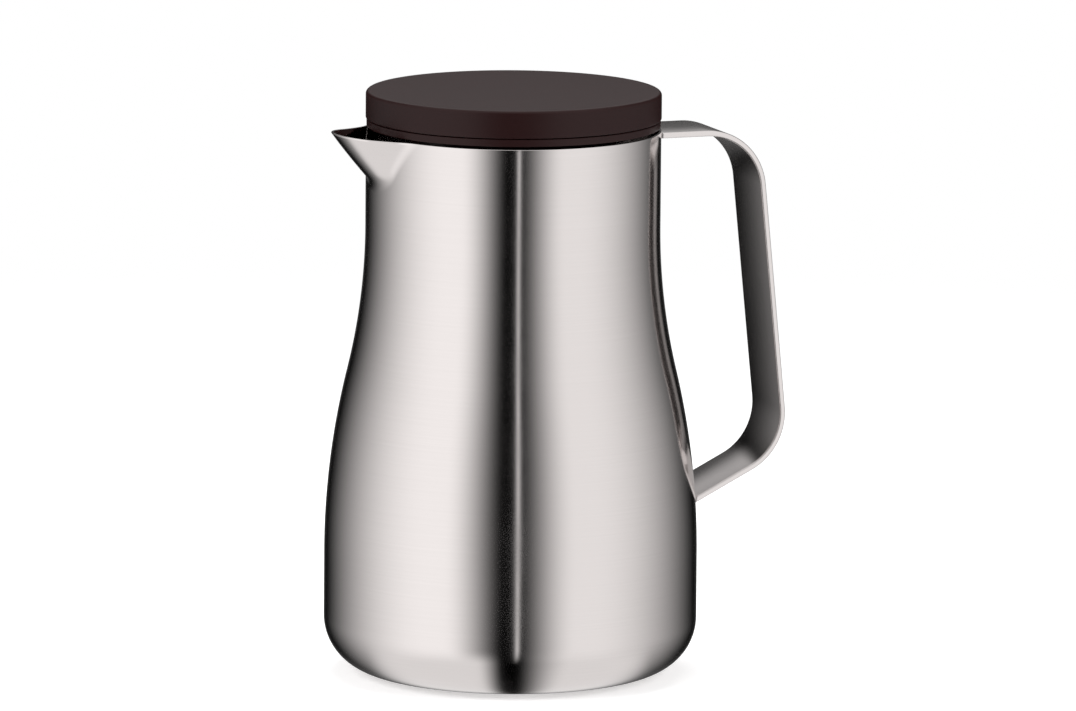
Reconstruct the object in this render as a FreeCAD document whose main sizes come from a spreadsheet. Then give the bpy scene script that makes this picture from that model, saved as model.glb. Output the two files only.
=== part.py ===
"""Double-walled steel pouring carafe with a pressed spout, a strap handle and a screw lid.

Millimetres, +Z up. The origin is the centre of the foot on the carafe's axis, the handle
points to +X and the spout to -X. Every driving size is a cell of the sheet "dims".
"""
import FreeCAD, Part
import math
import os
import Sketcher

# Driving sizes: alias, value, meaning
SIZES = [
    ("neck_radius", 51.2, "outside of the straight neck"),
    ("belly_radius", 65.0, "outside of the belly"),
    ("belly_height", 42.0, "top of the straight belly band"),
    ("neck_foot", 157.0, "bottom of the straight neck"),
    ("shoulder_radius", 215.0, "hollow curve from shoulder to neck"),
    ("base_corner", 19.0, "round between belly and base"),
    ("rim_height", 191.5, "top edge of the steel rim"),
    ("shell_wall", 0.7, "outer shell sheet"),
    ("foot_proud", 0.6, "foot ring standing below the steel base"),
    ("base_lip", 1.5, "flat steel edge round the hole in the base"),
    ("spout_reach", 66.3, "spout tip from the axis"),
    ("spout_tip_round", 17.0, "plan radius of the spout tip"),
    ("spout_half_angle", 33.0, "half angle of the V in plan, degrees"),
    ("spout_depth", 17.3, "spout root below the rim"),
    ("spout_wall", 0.9, "spout sheet measured level"),
    ("spout_root_depth", 12.0, "how far the spout runs back inside the neck"),
    ("vacuum_gap", 7.4, "space between shell and flask"),
    ("flask_wall", 0.5, "flask sheet"),
    ("flask_floor", 12.0, "underside of the flask"),
    ("flask_corner", 16.0, "outer round of the flask floor"),
    ("funnel_margin", 2.2, "weld lip below the spout root"),
    ("funnel_lip", 2.5, "height of the flask's weld lip"),
    ("funnel_drop", 5.0, "fall of the funnel to the flask neck"),
    ("weld_fit", 0.05, "gap left for a weld"),
    ("foil_gap", 0.15, "foil to flask"),
    ("foil_wall", 0.3, "foil wrap thickness"),
    ("foil_skirt", 15.0, "foil below the belly band"),
    ("pan_wall", 0.7, "bottom pan sheet"),
    ("pan_recess", 4.4, "pan underside above the steel base"),
    ("evacuation_radius", 2.0, "hole in the pan"),
    ("plug_head_radius", 4.0, "head of the vacuum plug"),
    ("plug_head", 0.8, "thickness of that head"),
    ("getter_radius", 5.0, "getter pill"),
    ("getter_thickness", 2.0, "getter pill"),
    ("getter_place", 22.0, "getter pill from the axis"),
    ("cover_recess", 0.8, "base cover above the steel base"),
    ("cover_wall", 2.0, "base cover plate"),
    ("cover_land", 4.0, "width of the cover's glued land"),
    ("cover_fit", 0.15, "cover in the pan, ring in the cover"),
    ("foot_margin", 2.1, "foot ring inside the base cover's edge"),
    ("foot_width", 6.0, "foot ring section width"),
    ("foot_seat", 1.2, "depth of the foot ring's groove"),
    ("foot_round", 0.8, "lower edges of the foot ring"),
    ("collar_fit", 0.1, "collar in the flask neck"),
    ("collar_wall", 4.0, "collar wall behind the thread"),
    ("collar_height", 18.0, "collar below the funnel mouth"),
    ("collar_flange", 3.0, "collar flange over the funnel"),
    ("collar_flange_wall", 1.2, "edge of that flange"),
    ("seat_width", 5.3, "sealing seat inside the collar bore"),
    ("seat_wall", 2.2, "thickness of the seat"),
    ("ring_groove", 1.3, "depth of the ring grooves"),
    ("ring_height", 2.0, "height of the collar's ring groove"),
    ("ring_rise", 3.0, "ring groove above the collar's foot"),
    ("ring_fit", 0.1, "ring in its groove"),
    ("thread_lead", 16.0, "rise of the lid in one turn"),
    ("thread_starts", 4, "number of thread ridges"),
    ("thread_span", 60.0, "length of one ridge, degrees"),
    ("thread_depth", 2.0, "height of a ridge"),
    ("thread_gap", 0.6, "crest to opposite wall"),
    ("thread_root", 1.9, "ridge width at its foot"),
    ("thread_crest", 1.1, "ridge width at its crest"),
    ("thread_rise", 9.3, "collar ridge start above the seat"),
    ("thread_bite", 0.4, "ridge foot sunk in its wall"),
    ("seal_gap", 0.25, "gasket above its seat at rest"),
    ("seal_height", 2.6, "gasket section"),
    ("seal_slope", 1.15, "chamfer of the gasket"),
    ("seal_inset", 0.5, "gasket edge inside the collar ridges"),
    ("seal_fit", 0.15, "gasket in the stopper"),
    ("stopper_lip", 2.5, "stopper below the gasket"),
    ("stopper_lip_gap", 0.5, "stopper lip inside the seat"),
    ("stopper_hold", 1.7, "gasket held by that lip"),
    ("stopper_wall", 2.0, "stopper cup wall"),
    ("lid_gap", 0.3, "lid flange above the rim"),
    ("flange_wall", 2.6, "lid flange, the band under the cap"),
    ("flange_inset", 0.2, "flange inside the neck's outline"),
    ("lid_height", 12.4, "flange and cap together"),
    ("lid_overhang", 0.1, "cap beyond the neck's outline"),
    ("lid_round", 1.3, "upper edge of the cap"),
    ("cap_wall", 2.4, "cap wall and top"),
    ("seam_gap", 0.3, "shadow line between flange and cap"),
    ("spigot_fit", 0.3, "spigot inside the cap"),
    ("spigot_wall", 2.6, "spigot on the flange"),
    ("spigot_height", 4.0, "spigot on the flange"),
    ("cap_ring_rise", 1.2, "cap ring groove above the flange"),
    ("cap_ring_height", 1.6, "cap ring groove"),
    ("cap_rest_radius", 40.0, "inside of the cap's support rib"),
    ("cap_rest_wall", 2.0, "cap's support rib"),
    ("cap_fit", 0.1, "support rib and foam clearances"),
    ("strap_width", 27.0, "handle strap"),
    ("strap_wall", 2.0, "handle strap"),
    ("strap_bend", 20.0, "inside radius of the strap's bends"),
    ("strap_drop", 2.5, "strap's upper face below the rim"),
    ("strap_top_reach", 87.05, "upper bend corner from the axis"),
    ("strap_low_reach", 98.55, "lower bend corner from the axis"),
    ("strap_low_height", 74.8, "lower bend corner"),
    ("strap_foot_height", 58.2, "lower leg where it meets the belly"),
    ("strap_foot_reach", 64.5, "lower leg where it meets the belly"),
    ("strap_bury", 8.0, "strap ends inside the shell before they are trimmed"),
    ("cut_spare", 2.0, "how far a cutting shape overshoots"),
]


class Size:
    """A length with the sheet expression that gives it, so sketches stay bound to the sheet."""

    def __init__(self, value, text):
        self.value = float(value)
        self.text = text

    @staticmethod
    def of(item):
        """A Size, from a Size or from a plain number."""
        if isinstance(item, Size):
            return item
        return Size(item, repr(item))

    def __add__(self, other):
        other = Size.of(other)
        return Size(self.value + other.value, f"({self.text} + {other.text})")

    def __sub__(self, other):
        other = Size.of(other)
        return Size(self.value - other.value, f"({self.text} - {other.text})")

    def __mul__(self, other):
        other = Size.of(other)
        return Size(self.value * other.value, f"({self.text} * {other.text})")

    def __truediv__(self, other):
        other = Size.of(other)
        return Size(self.value / other.value, f"({self.text} / {other.text})")

    def __neg__(self):
        return Size(-self.value, f"(-1 * {self.text})")


class Corner:
    """One corner of an outline: its place, and how the outline turns there or goes on from it.

    rounded is a fillet radius at the corner. arc is the radius of the edge to the next corner,
    and left says on which side of that edge its centre lies.
    """

    def __init__(self, x, y, rounded=None, arc=None, left=True):
        self.x = Size.of(x)
        self.y = Size.of(y)
        self.rounded = rounded
        self.arc = arc
        self.left = left
        self.point = FreeCAD.Vector(self.x.value, self.y.value, 0)


ON_AXIS = Size(0, "0")
# How a sketch numbers its own axes and the ends of an element
AXIS = {"level": -1, "upright": -2}
SPOTS = ("edge", "start", "end", "centre")
LEVEL = AXIS["level"]
UPRIGHT = AXIS["upright"]
START = SPOTS.index("start")
END = SPOTS.index("end")
CENTRE = SPOTS.index("centre")

doc = FreeCAD.newDocument("carafe")
sheet = doc.addObject("Spreadsheet::Sheet", "dims")


class Sizes:
    """The sheet's sizes as attributes."""


d = Sizes()
for row, (alias, value, meaning) in enumerate(SIZES, start=1):
    sheet.set(f"A{row}", meaning)
    sheet.set(f"B{row}", str(value))
    sheet.setAlias(f"B{row}", alias)
    setattr(d, alias, Size(value, f"dims.{alias}"))
doc.recompute()


def new_body(label):
    """An empty body whose label names the piece."""
    body = doc.addObject("PartDesign::Body", label)
    body.Label = label
    return body


def origin_feature(body, role):
    """The body's own origin plane or axis with that role."""
    for feature in body.Origin.OriginFeatures:
        if feature.Role == role:
            return feature
    raise ValueError(role)


def new_sketch(body, name, plane="XZ_Plane", height=None):
    """A sketch on one of the body's origin planes, raised by height along the plane's normal."""
    sketch = body.newObject("Sketcher::SketchObject", name)
    sketch.AttachmentSupport = [(origin_feature(body, plane), "")]
    sketch.MapMode = "FlatFace"
    if height is not None:
        sketch.AttachmentOffset = FreeCAD.Placement(
            FreeCAD.Vector(0, 0, height.value), FreeCAD.Rotation())
        sketch.setExpression("AttachmentOffset.Base.z", height.text)
    return sketch


def bind(sketch, name, text, kind, *arguments):
    """Add one dimension to the sketch and bind it to an expression."""
    index = sketch.addConstraint(Sketcher.Constraint(kind, *arguments))
    sketch.renameConstraint(index, name)
    sketch.setExpression(f"Constraints.{name}", text)


def pin(sketch, name, element, position, x, y):
    """Hold a point at (x, y); a coordinate of zero puts it on the axis."""
    if x.value == 0:
        sketch.addConstraint(Sketcher.Constraint("PointOnObject", element, position, UPRIGHT))
    else:
        bind(sketch, f"{name}_x", x.text, "DistanceX", LEVEL, START, element, position, x.value)
    if y.value == 0:
        sketch.addConstraint(Sketcher.Constraint("PointOnObject", element, position, LEVEL))
    else:
        bind(sketch, f"{name}_y", y.text, "DistanceY", LEVEL, START, element, position, y.value)


def arc_between(first, last, centre):
    """The shorter arc about centre, and whether it runs from first to last counter-clockwise."""
    radius = (first - centre).Length
    angles = [math.atan2(p.y - centre.y, p.x - centre.x) for p in (first, last)]
    sweep = (angles[1] - angles[0]) % (2 * math.pi)
    forward = sweep < math.pi
    begin = angles[0] if forward else angles[1]
    turn = sweep if forward else 2 * math.pi - sweep
    circle = Part.Circle(centre, FreeCAD.Vector(0, 0, 1), radius)
    return Part.ArcOfCircle(circle, begin, begin + turn), forward


def arc_centre(first, last, radius, left):
    """Centre of the arc of that radius from first to last, on its left or right side."""
    chord = last - first
    middle = (first + last) * 0.5
    rise = math.sqrt(max(radius ** 2 - chord.Length ** 2 / 4, 0))
    side = FreeCAD.Vector(-chord.y, chord.x, 0).normalize()
    return middle + side * (rise if left else -rise)


def draw(sketch, corners, closed=True):
    """Draw an outline through corners, with its arcs and rounds, and bind every size of it."""
    count = len(corners)
    edges = []
    for index in range(count if closed else count - 1):
        edges.append((corners[index], corners[(index + 1) % count]))
    cuts = {}
    for index, corner in enumerate(corners):
        if corner.rounded is None:
            continue
        before = (corners[index - 1].point - corner.point).normalize()
        after = (corners[(index + 1) % count].point - corner.point).normalize()
        half = before.getAngle(after) / 2
        reach = corner.rounded.value / math.tan(half)
        bisector = (before + after).normalize()
        centre = corner.point + bisector * (corner.rounded.value / math.sin(half))
        cuts[index] = (corner.point + before * reach, corner.point + after * reach, centre)
    ends = []
    for index, (corner, following) in enumerate(edges):
        first = cuts[index][1] if index in cuts else corner.point
        after = (index + 1) % count
        last = cuts[after][0] if after in cuts else following.point
        if corner.arc is None:
            element = sketch.addGeometry(Part.LineSegment(first, last))
            ends.append((element, START, END))
        else:
            centre = arc_centre(first, last, corner.arc.value, corner.left)
            shape, forward = arc_between(first, last, centre)
            element = sketch.addGeometry(shape)
            ends.append((element, START, END) if forward else (element, END, START))
            bind(sketch, f"arc_{index}", corner.arc.text, "Radius", element, corner.arc.value)
    for index, corner in enumerate(corners):
        leaving = ends[index] if index < len(ends) else None
        arriving = ends[index - 1] if closed or index > 0 else None
        if index in cuts:
            shape, forward = arc_between(*cuts[index])
            bend = sketch.addGeometry(shape)
            near, far = (START, END) if forward else (END, START)
            sketch.addConstraint(
                Sketcher.Constraint("Tangent", arriving[0], arriving[2], bend, near))
            sketch.addConstraint(
                Sketcher.Constraint("Tangent", bend, far, leaving[0], leaving[1]))
            bind(sketch, f"round_{index}", corner.rounded.text, "Radius", bend, corner.rounded.value)
            mark = sketch.addGeometry(Part.Point(corner.point), True)
            for line in (arriving[0], leaving[0]):
                sketch.addConstraint(Sketcher.Constraint("PointOnObject", mark, START, line))
            pin(sketch, f"corner_{index}", mark, START, corner.x, corner.y)
            continue
        if leaving and arriving:
            sketch.addConstraint(Sketcher.Constraint(
                "Coincident", arriving[0], arriving[2], leaving[0], leaving[1]))
        element, position = (leaving[0], leaving[1]) if leaving else (arriving[0], arriving[2])
        pin(sketch, f"corner_{index}", element, position, corner.x, corner.y)


def revolve(body, name, corners):
    """Turn an outline of (radius, height) corners about the carafe's axis."""
    sketch = new_sketch(body, f"{name}_outline")
    draw(sketch, corners)
    turned = body.newObject("PartDesign::Revolution", name)
    turned.Profile = sketch
    turned.ReferenceAxis = (sketch, ["V_Axis"])
    turned.Angle = 360
    doc.recompute()
    return turned


def cut_round(body, name, corners):
    """Cut away a shape of revolution, and make sure that it cut something."""
    before = body.Shape.Volume
    sketch = new_sketch(body, f"{name}_outline")
    draw(sketch, corners)
    groove = body.newObject("PartDesign::Groove", name)
    groove.Profile = sketch
    groove.ReferenceAxis = (sketch, ["V_Axis"])
    groove.Angle = 360
    doc.recompute()
    if not body.Shape.Volume < before:
        raise RuntimeError(f"{name} cut nothing")


def body_curve(inset, low):
    """Outer line of the carafe moved inwards by inset, from the belly at height low to the neck.

    Two tangent arcs join the belly to the neck. The sum of their radii follows from the step in
    radius and height between them, and the lower one takes what the shoulder radius leaves.
    """
    neck = d.neck_radius - inset
    belly = d.belly_radius - inset
    hollow = d.shoulder_radius + inset
    step = belly - neck
    climb = d.neck_foot - d.belly_height
    both = (step * step + climb * climb) / (step * 2)
    full = both - hollow
    share = hollow / both
    turn_x = neck + step * share
    turn_z = d.neck_foot - climb * share
    return [
        Corner(belly, low),
        Corner(belly, d.belly_height, arc=full, left=True),
        Corner(turn_x, turn_z, arc=hollow, left=False),
        Corner(neck, d.neck_foot),
    ]


def reverse_curve(inset, low):
    """The same line drawn from the neck down to the belly."""
    lowest, belly, turn, neck = body_curve(inset, low)
    return [
        Corner(neck.x, neck.y, arc=turn.arc, left=True),
        Corner(turn.x, turn.y, arc=belly.arc, left=False),
        Corner(belly.x, belly.y),
        lowest,
    ]


def spout_section(body, name, wall, shift, height):
    """Plan of the spout at one height: two flanks of a V, a round tip and a straight back."""
    sketch = new_sketch(body, name, "XY_Plane", height)
    radius = d.spout_tip_round - wall
    centre_x = -(d.spout_reach - d.spout_tip_round - shift)
    back_x = -(d.spout_reach - d.spout_tip_round - shift - d.spout_root_depth)
    half = math.radians(d.spout_half_angle.value)
    centre = FreeCAD.Vector(centre_x.value, 0, 0)
    touch = FreeCAD.Vector(-math.sin(half), math.cos(half), 0) * radius.value
    flank = FreeCAD.Vector(math.cos(half), math.sin(half), 0)
    upper = centre + touch
    lower = FreeCAD.Vector(upper.x, -upper.y, 0)
    upper_back = upper + flank * ((back_x.value - upper.x) / flank.x)
    lower_back = FreeCAD.Vector(upper_back.x, -upper_back.y, 0)
    shape, forward = arc_between(upper, lower, centre)
    tip = sketch.addGeometry(shape)
    one = sketch.addGeometry(Part.LineSegment(upper, upper_back))
    two = sketch.addGeometry(Part.LineSegment(lower, lower_back))
    back = sketch.addGeometry(Part.LineSegment(upper_back, lower_back))
    first, last = (START, END) if forward else (END, START)
    sketch.addConstraint(Sketcher.Constraint("Tangent", one, START, tip, first))
    sketch.addConstraint(Sketcher.Constraint("Tangent", two, START, tip, last))
    sketch.addConstraint(Sketcher.Constraint("Coincident", one, END, back, START))
    sketch.addConstraint(Sketcher.Constraint("Coincident", two, END, back, END))
    sketch.addConstraint(
        Sketcher.Constraint("Symmetric", one, END, two, END, LEVEL))
    pin(sketch, "tip_centre", tip, CENTRE, centre_x, ON_AXIS)
    bind(sketch, "tip_round", radius.text, "Radius", tip, radius.value)
    bind(sketch, "back_x", back_x.text, "DistanceX", LEVEL, START, one, END, back_x.value)
    bind(sketch, "flank", f"{d.spout_half_angle.text} * 1 deg", "Angle", one, half)
    return sketch


def spout_loft(body, name, feature, wall, over):
    """The V of the spout, leaning outwards from its root in the neck to the rim."""
    lean = (d.spout_reach - d.neck_radius) / d.spout_depth
    before = body.Shape.Volume
    upper = spout_section(body, f"{name}_rim", wall, -(lean * over), d.rim_height + over)
    root = spout_section(body, f"{name}_root", wall, d.spout_reach - d.neck_radius,
                         d.rim_height - d.spout_depth)
    loft = body.newObject(f"PartDesign::{feature}", name)
    loft.Profile = upper
    loft.Sections = [root]
    loft.Ruled = True
    doc.recompute()
    if body.Shape.Volume == before:
        raise RuntimeError(f"{name} changed nothing")


def ridges(body, name, foot_radius, crest_radius, start):
    """Interrupted thread ridges round the axis, from the wall at foot_radius to crest_radius."""
    half_foot = d.thread_root / 2
    half_crest = d.thread_crest / 2
    sketch = new_sketch(body, f"{name}_section")
    draw(sketch, [
        Corner(foot_radius, start - half_foot),
        Corner(crest_radius, start - half_crest),
        Corner(crest_radius, start + half_crest),
        Corner(foot_radius, start + half_foot),
    ])
    doc.recompute()
    helix = body.newObject("PartDesign::AdditiveHelix", f"{name}_helix")
    helix.Profile = sketch
    helix.ReferenceAxis = (sketch, ["V_Axis"])
    helix.Mode = "pitch-height-angle"
    helix.setExpression("Pitch", d.thread_lead.text)
    helix.setExpression("Height", (d.thread_lead * d.thread_span / 360).text)
    doc.recompute()
    pattern = body.newObject("PartDesign::PolarPattern", f"{name}_ring")
    pattern.Originals = [helix]
    pattern.Axis = (origin_feature(body, "Z_Axis"), [""])
    pattern.Angle = 360
    pattern.setExpression("Occurrences", d.thread_starts.text)
    body.Tip = pattern
    doc.recompute()


# Levels and radii that several pieces share
steel_base = d.foot_proud
shell_bore = d.neck_radius - d.shell_wall
flask_inset = d.shell_wall + d.vacuum_gap
flask_bore = d.neck_radius - flask_inset - d.flask_wall
lip_top = d.rim_height - d.spout_depth - d.funnel_margin
funnel_top = lip_top - d.funnel_lip
funnel_mouth = funnel_top - d.funnel_drop
lip_radius = shell_bore - d.weld_fit
pan_under = steel_base + d.pan_recess
base_opening = d.belly_radius - d.base_corner - d.base_lip
pan_radius = base_opening - d.weld_fit
cover_under = steel_base + d.cover_recess
cover_radius = pan_radius - d.pan_wall - d.cover_fit
foot_radius = cover_radius - d.foot_margin
foot_bore = foot_radius - d.foot_width
collar_radius = flask_bore - d.collar_fit
collar_bore = collar_radius - d.collar_wall
collar_foot = funnel_mouth - d.collar_height
seat_radius = collar_bore - d.seat_width
seat_top = collar_foot + d.seat_wall
collar_crest = collar_bore - d.thread_depth
collar_ridge = seat_top + d.thread_rise
stopper_crest = collar_bore - d.thread_gap
stopper_radius = stopper_crest - d.thread_depth
stopper_ridge = collar_ridge - d.thread_lead / d.thread_starts / 2
seal_foot = seat_top + d.seal_gap
lip_edge = seat_radius - d.stopper_lip_gap
seal_bed = lip_edge - d.stopper_hold
flange_under = d.rim_height + d.lid_gap
flange_top = flange_under + d.flange_wall
lid_top = flange_under + d.lid_height
cap_radius = d.neck_radius + d.lid_overhang
cap_bore = cap_radius - d.cap_wall
cap_under = lid_top - d.cap_wall
spigot_radius = cap_bore - d.spigot_fit


def make_outer_shell():
    """Drawn shell from the open base to the rim, with the V spout pressed out of the neck."""
    body = new_body("outer_shell")
    inner = d.shell_wall
    corner_z = steel_base + d.base_corner
    flat_edge = d.belly_radius - d.base_corner
    outline = [
        Corner(base_opening, steel_base),
        Corner(flat_edge, steel_base, arc=d.base_corner, left=True),
        *body_curve(ON_AXIS, corner_z),
        Corner(d.neck_radius, d.rim_height),
        Corner(shell_bore, d.rim_height),
        *reverse_curve(inner, corner_z),
        Corner(flat_edge, steel_base + inner),
        Corner(base_opening, steel_base + inner),
    ]
    outline[-3].arc = d.base_corner - inner
    outline[-3].left = False
    revolve(body, "shell_wall_turned", outline)
    spout_loft(body, "spout_outside", "AdditiveLoft", ON_AXIS, ON_AXIS)
    root = d.rim_height - d.spout_depth - d.cut_spare
    over = d.rim_height + d.cut_spare
    cut_round(body, "neck_bore", [
        Corner(ON_AXIS, root),
        Corner(shell_bore, root),
        Corner(shell_bore, over),
        Corner(ON_AXIS, over),
    ])
    spout_loft(body, "spout_inside", "SubtractiveLoft", d.spout_wall, d.cut_spare)


def make_inner_flask():
    """Inner vessel: closed floor, belly, neck, and a funnel whose lip is welded to the shell."""
    body = new_body("inner_flask")
    corner_z = d.flask_floor + d.flask_corner
    outer_flat = d.belly_radius - flask_inset - d.flask_corner
    inner_inset = flask_inset + d.flask_wall
    outline = [
        Corner(ON_AXIS, d.flask_floor),
        Corner(outer_flat, d.flask_floor, arc=d.flask_corner, left=True),
        *body_curve(flask_inset, corner_z),
        Corner(flask_bore + d.flask_wall, funnel_mouth - d.flask_wall),
        Corner(lip_radius, funnel_top - d.flask_wall),
        Corner(lip_radius, lip_top),
        Corner(lip_radius - d.flask_wall, lip_top),
        Corner(lip_radius - d.flask_wall, funnel_top),
        Corner(flask_bore, funnel_mouth),
        *reverse_curve(inner_inset, corner_z),
        Corner(outer_flat, d.flask_floor + d.flask_wall),
        Corner(ON_AXIS, d.flask_floor + d.flask_wall),
    ]
    outline[-3].arc = d.flask_corner - d.flask_wall
    outline[-3].left = False
    revolve(body, "flask_turned", outline)


def make_heat_foil():
    """Foil sleeve close round the flask, from below the belly band up to the neck."""
    body = new_body("heat_foil")
    near = flask_inset - d.foil_gap
    low = d.belly_height - d.foil_skirt
    revolve(body, "foil_turned", [
        *body_curve(near - d.foil_wall, low),
        *reverse_curve(near, low),
    ])


def make_bottom_pan():
    """Dished bottom with a flange welded into the shell's base and a hole for evacuation."""
    body = new_body("bottom_pan")
    rim_radius = pan_radius - d.pan_wall
    revolve(body, "pan_turned", [
        Corner(d.evacuation_radius, pan_under),
        Corner(rim_radius, pan_under),
        Corner(rim_radius, steel_base),
        Corner(pan_radius, steel_base),
        Corner(pan_radius, pan_under + d.pan_wall),
        Corner(d.evacuation_radius, pan_under + d.pan_wall),
    ])


def make_vacuum_plug():
    """Plug of the evacuation hole, with a flat head under the pan."""
    body = new_body("vacuum_plug")
    head_top = pan_under - d.weld_fit
    shank = d.evacuation_radius - d.weld_fit
    revolve(body, "plug_turned", [
        Corner(ON_AXIS, head_top - d.plug_head),
        Corner(d.plug_head_radius, head_top - d.plug_head),
        Corner(d.plug_head_radius, head_top),
        Corner(shank, head_top),
        Corner(shank, pan_under + d.pan_wall),
        Corner(ON_AXIS, pan_under + d.pan_wall),
    ])


def make_getter_pill():
    """Gas getter fixed on top of the pan, inside the vacuum."""
    pill = doc.addObject("Part::Cylinder", "getter_pill")
    pill.Label = "getter_pill"
    pill.setExpression("Radius", d.getter_radius.text)
    pill.setExpression("Height", d.getter_thickness.text)
    pill.setExpression("Placement.Base.x", d.getter_place.text)
    pill.setExpression("Placement.Base.z", (pan_under + d.pan_wall + d.weld_fit).text)


def make_base_cover():
    """Plate over the pan, with a glued land on top and a groove for the foot ring below."""
    body = new_body("base_cover")
    top = cover_under + d.cover_wall
    land_top = pan_under - d.weld_fit
    groove_in = foot_bore - d.cover_fit
    groove_out = foot_radius + d.cover_fit
    groove_top = cover_under + d.foot_seat
    revolve(body, "cover_turned", [
        Corner(ON_AXIS, cover_under),
        Corner(groove_in, cover_under),
        Corner(groove_in, groove_top),
        Corner(groove_out, groove_top),
        Corner(groove_out, cover_under),
        Corner(cover_radius, cover_under),
        Corner(cover_radius, land_top),
        Corner(cover_radius - d.cover_land, land_top),
        Corner(cover_radius - d.cover_land, top),
        Corner(ON_AXIS, top),
    ])


def make_foot_ring():
    """Soft ring that the carafe stands on, set in the base cover."""
    body = new_body("foot_ring")
    top = cover_under + d.foot_seat - d.cover_fit
    revolve(body, "foot_turned", [
        Corner(foot_bore, ON_AXIS, rounded=d.foot_round),
        Corner(foot_radius, ON_AXIS, rounded=d.foot_round),
        Corner(foot_radius, top),
        Corner(foot_bore, top),
    ])


def make_thread_collar():
    """Collar in the flask mouth: flange on the funnel, thread in the bore, seat at the foot."""
    body = new_body("thread_collar")
    slope = d.funnel_drop / (lip_radius - d.flask_wall - flask_bore)
    flange_edge = flask_bore + d.collar_flange
    flange_foot = funnel_mouth + d.collar_flange * slope + d.collar_fit
    flange_head = flange_foot + d.collar_flange_wall
    ring_low = collar_foot + d.ring_rise
    ring_high = ring_low + d.ring_height
    ring_bed = collar_radius - d.ring_groove
    revolve(body, "collar_turned", [
        Corner(seat_radius, collar_foot),
        Corner(collar_radius, collar_foot),
        Corner(collar_radius, ring_low),
        Corner(ring_bed, ring_low),
        Corner(ring_bed, ring_high),
        Corner(collar_radius, ring_high),
        Corner(collar_radius, funnel_mouth + d.collar_fit),
        Corner(flange_edge, flange_foot),
        Corner(flange_edge, flange_head),
        Corner(collar_bore, flange_head),
        Corner(collar_bore, seat_top),
        Corner(seat_radius, seat_top),
    ])
    ridges(body, "collar_thread", collar_bore + d.thread_bite, collar_crest, collar_ridge)


def make_collar_seal():
    """Ring between the collar and the flask's neck."""
    body = new_body("collar_seal")
    low = collar_foot + d.ring_rise + d.ring_fit
    high = low + d.ring_height - d.ring_fit * 2
    inside = collar_radius - d.ring_groove + d.ring_fit
    outside = flask_bore - d.weld_fit
    revolve(body, "collar_seal_turned", [
        Corner(inside, low),
        Corner(outside, low),
        Corner(outside, high),
        Corner(inside, high),
    ])


def make_handle_strap():
    """Flat strap with two bends, its ends trimmed to the neck and to the belly."""
    body = new_body("handle_strap")
    top = d.rim_height - d.strap_drop
    half_wall = d.strap_wall / 2
    bend = d.strap_bend + half_wall
    path = new_sketch(body, "strap_path")
    draw(path, [
        Corner(d.neck_radius - d.strap_bury, top - half_wall),
        Corner(d.strap_top_reach - half_wall, top - half_wall, rounded=bend),
        Corner(d.strap_low_reach - half_wall, d.strap_low_height + half_wall, rounded=bend),
        Corner(d.strap_foot_reach - d.strap_bury, d.strap_foot_height + half_wall
               - d.strap_bury * (d.strap_low_height - d.strap_foot_height)
               / (d.strap_low_reach - d.strap_foot_reach)),
    ], closed=False)
    doc.recompute()
    section = new_sketch(body, "strap_section", "YZ_Plane", d.neck_radius - d.strap_bury)
    half_width = d.strap_width / 2
    draw(section, [
        Corner(-half_width, top - d.strap_wall),
        Corner(half_width, top - d.strap_wall),
        Corner(half_width, top),
        Corner(-half_width, top),
    ])
    doc.recompute()
    strap = body.newObject("PartDesign::AdditivePipe", "strap_bent")
    strap.Profile = section
    strap.Spine = path
    doc.recompute()
    clear = -d.weld_fit
    low = steel_base + d.base_corner
    over = d.rim_height + d.cut_spare
    cut_round(body, "strap_trim", [
        Corner(ON_AXIS, low),
        *body_curve(clear, low),
        Corner(d.neck_radius + d.weld_fit, over),
        Corner(ON_AXIS, over),
    ])


def make_lid_cap():
    """Disc cap with a rounded upper edge and a support rib that rests on the stopper's flange."""
    body = new_body("lid_cap")
    rib = d.cap_rest_radius + d.cap_rest_wall
    rib_foot = flange_top + d.cap_fit
    cap_foot = flange_top + d.seam_gap
    revolve(body, "cap_turned", [
        Corner(ON_AXIS, cap_under),
        Corner(d.cap_rest_radius, cap_under),
        Corner(d.cap_rest_radius, rib_foot),
        Corner(rib, rib_foot),
        Corner(rib, cap_under),
        Corner(cap_bore, cap_under),
        Corner(cap_bore, cap_foot),
        Corner(cap_radius, cap_foot),
        Corner(cap_radius, lid_top, rounded=d.lid_round),
        Corner(ON_AXIS, lid_top),
    ])


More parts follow.
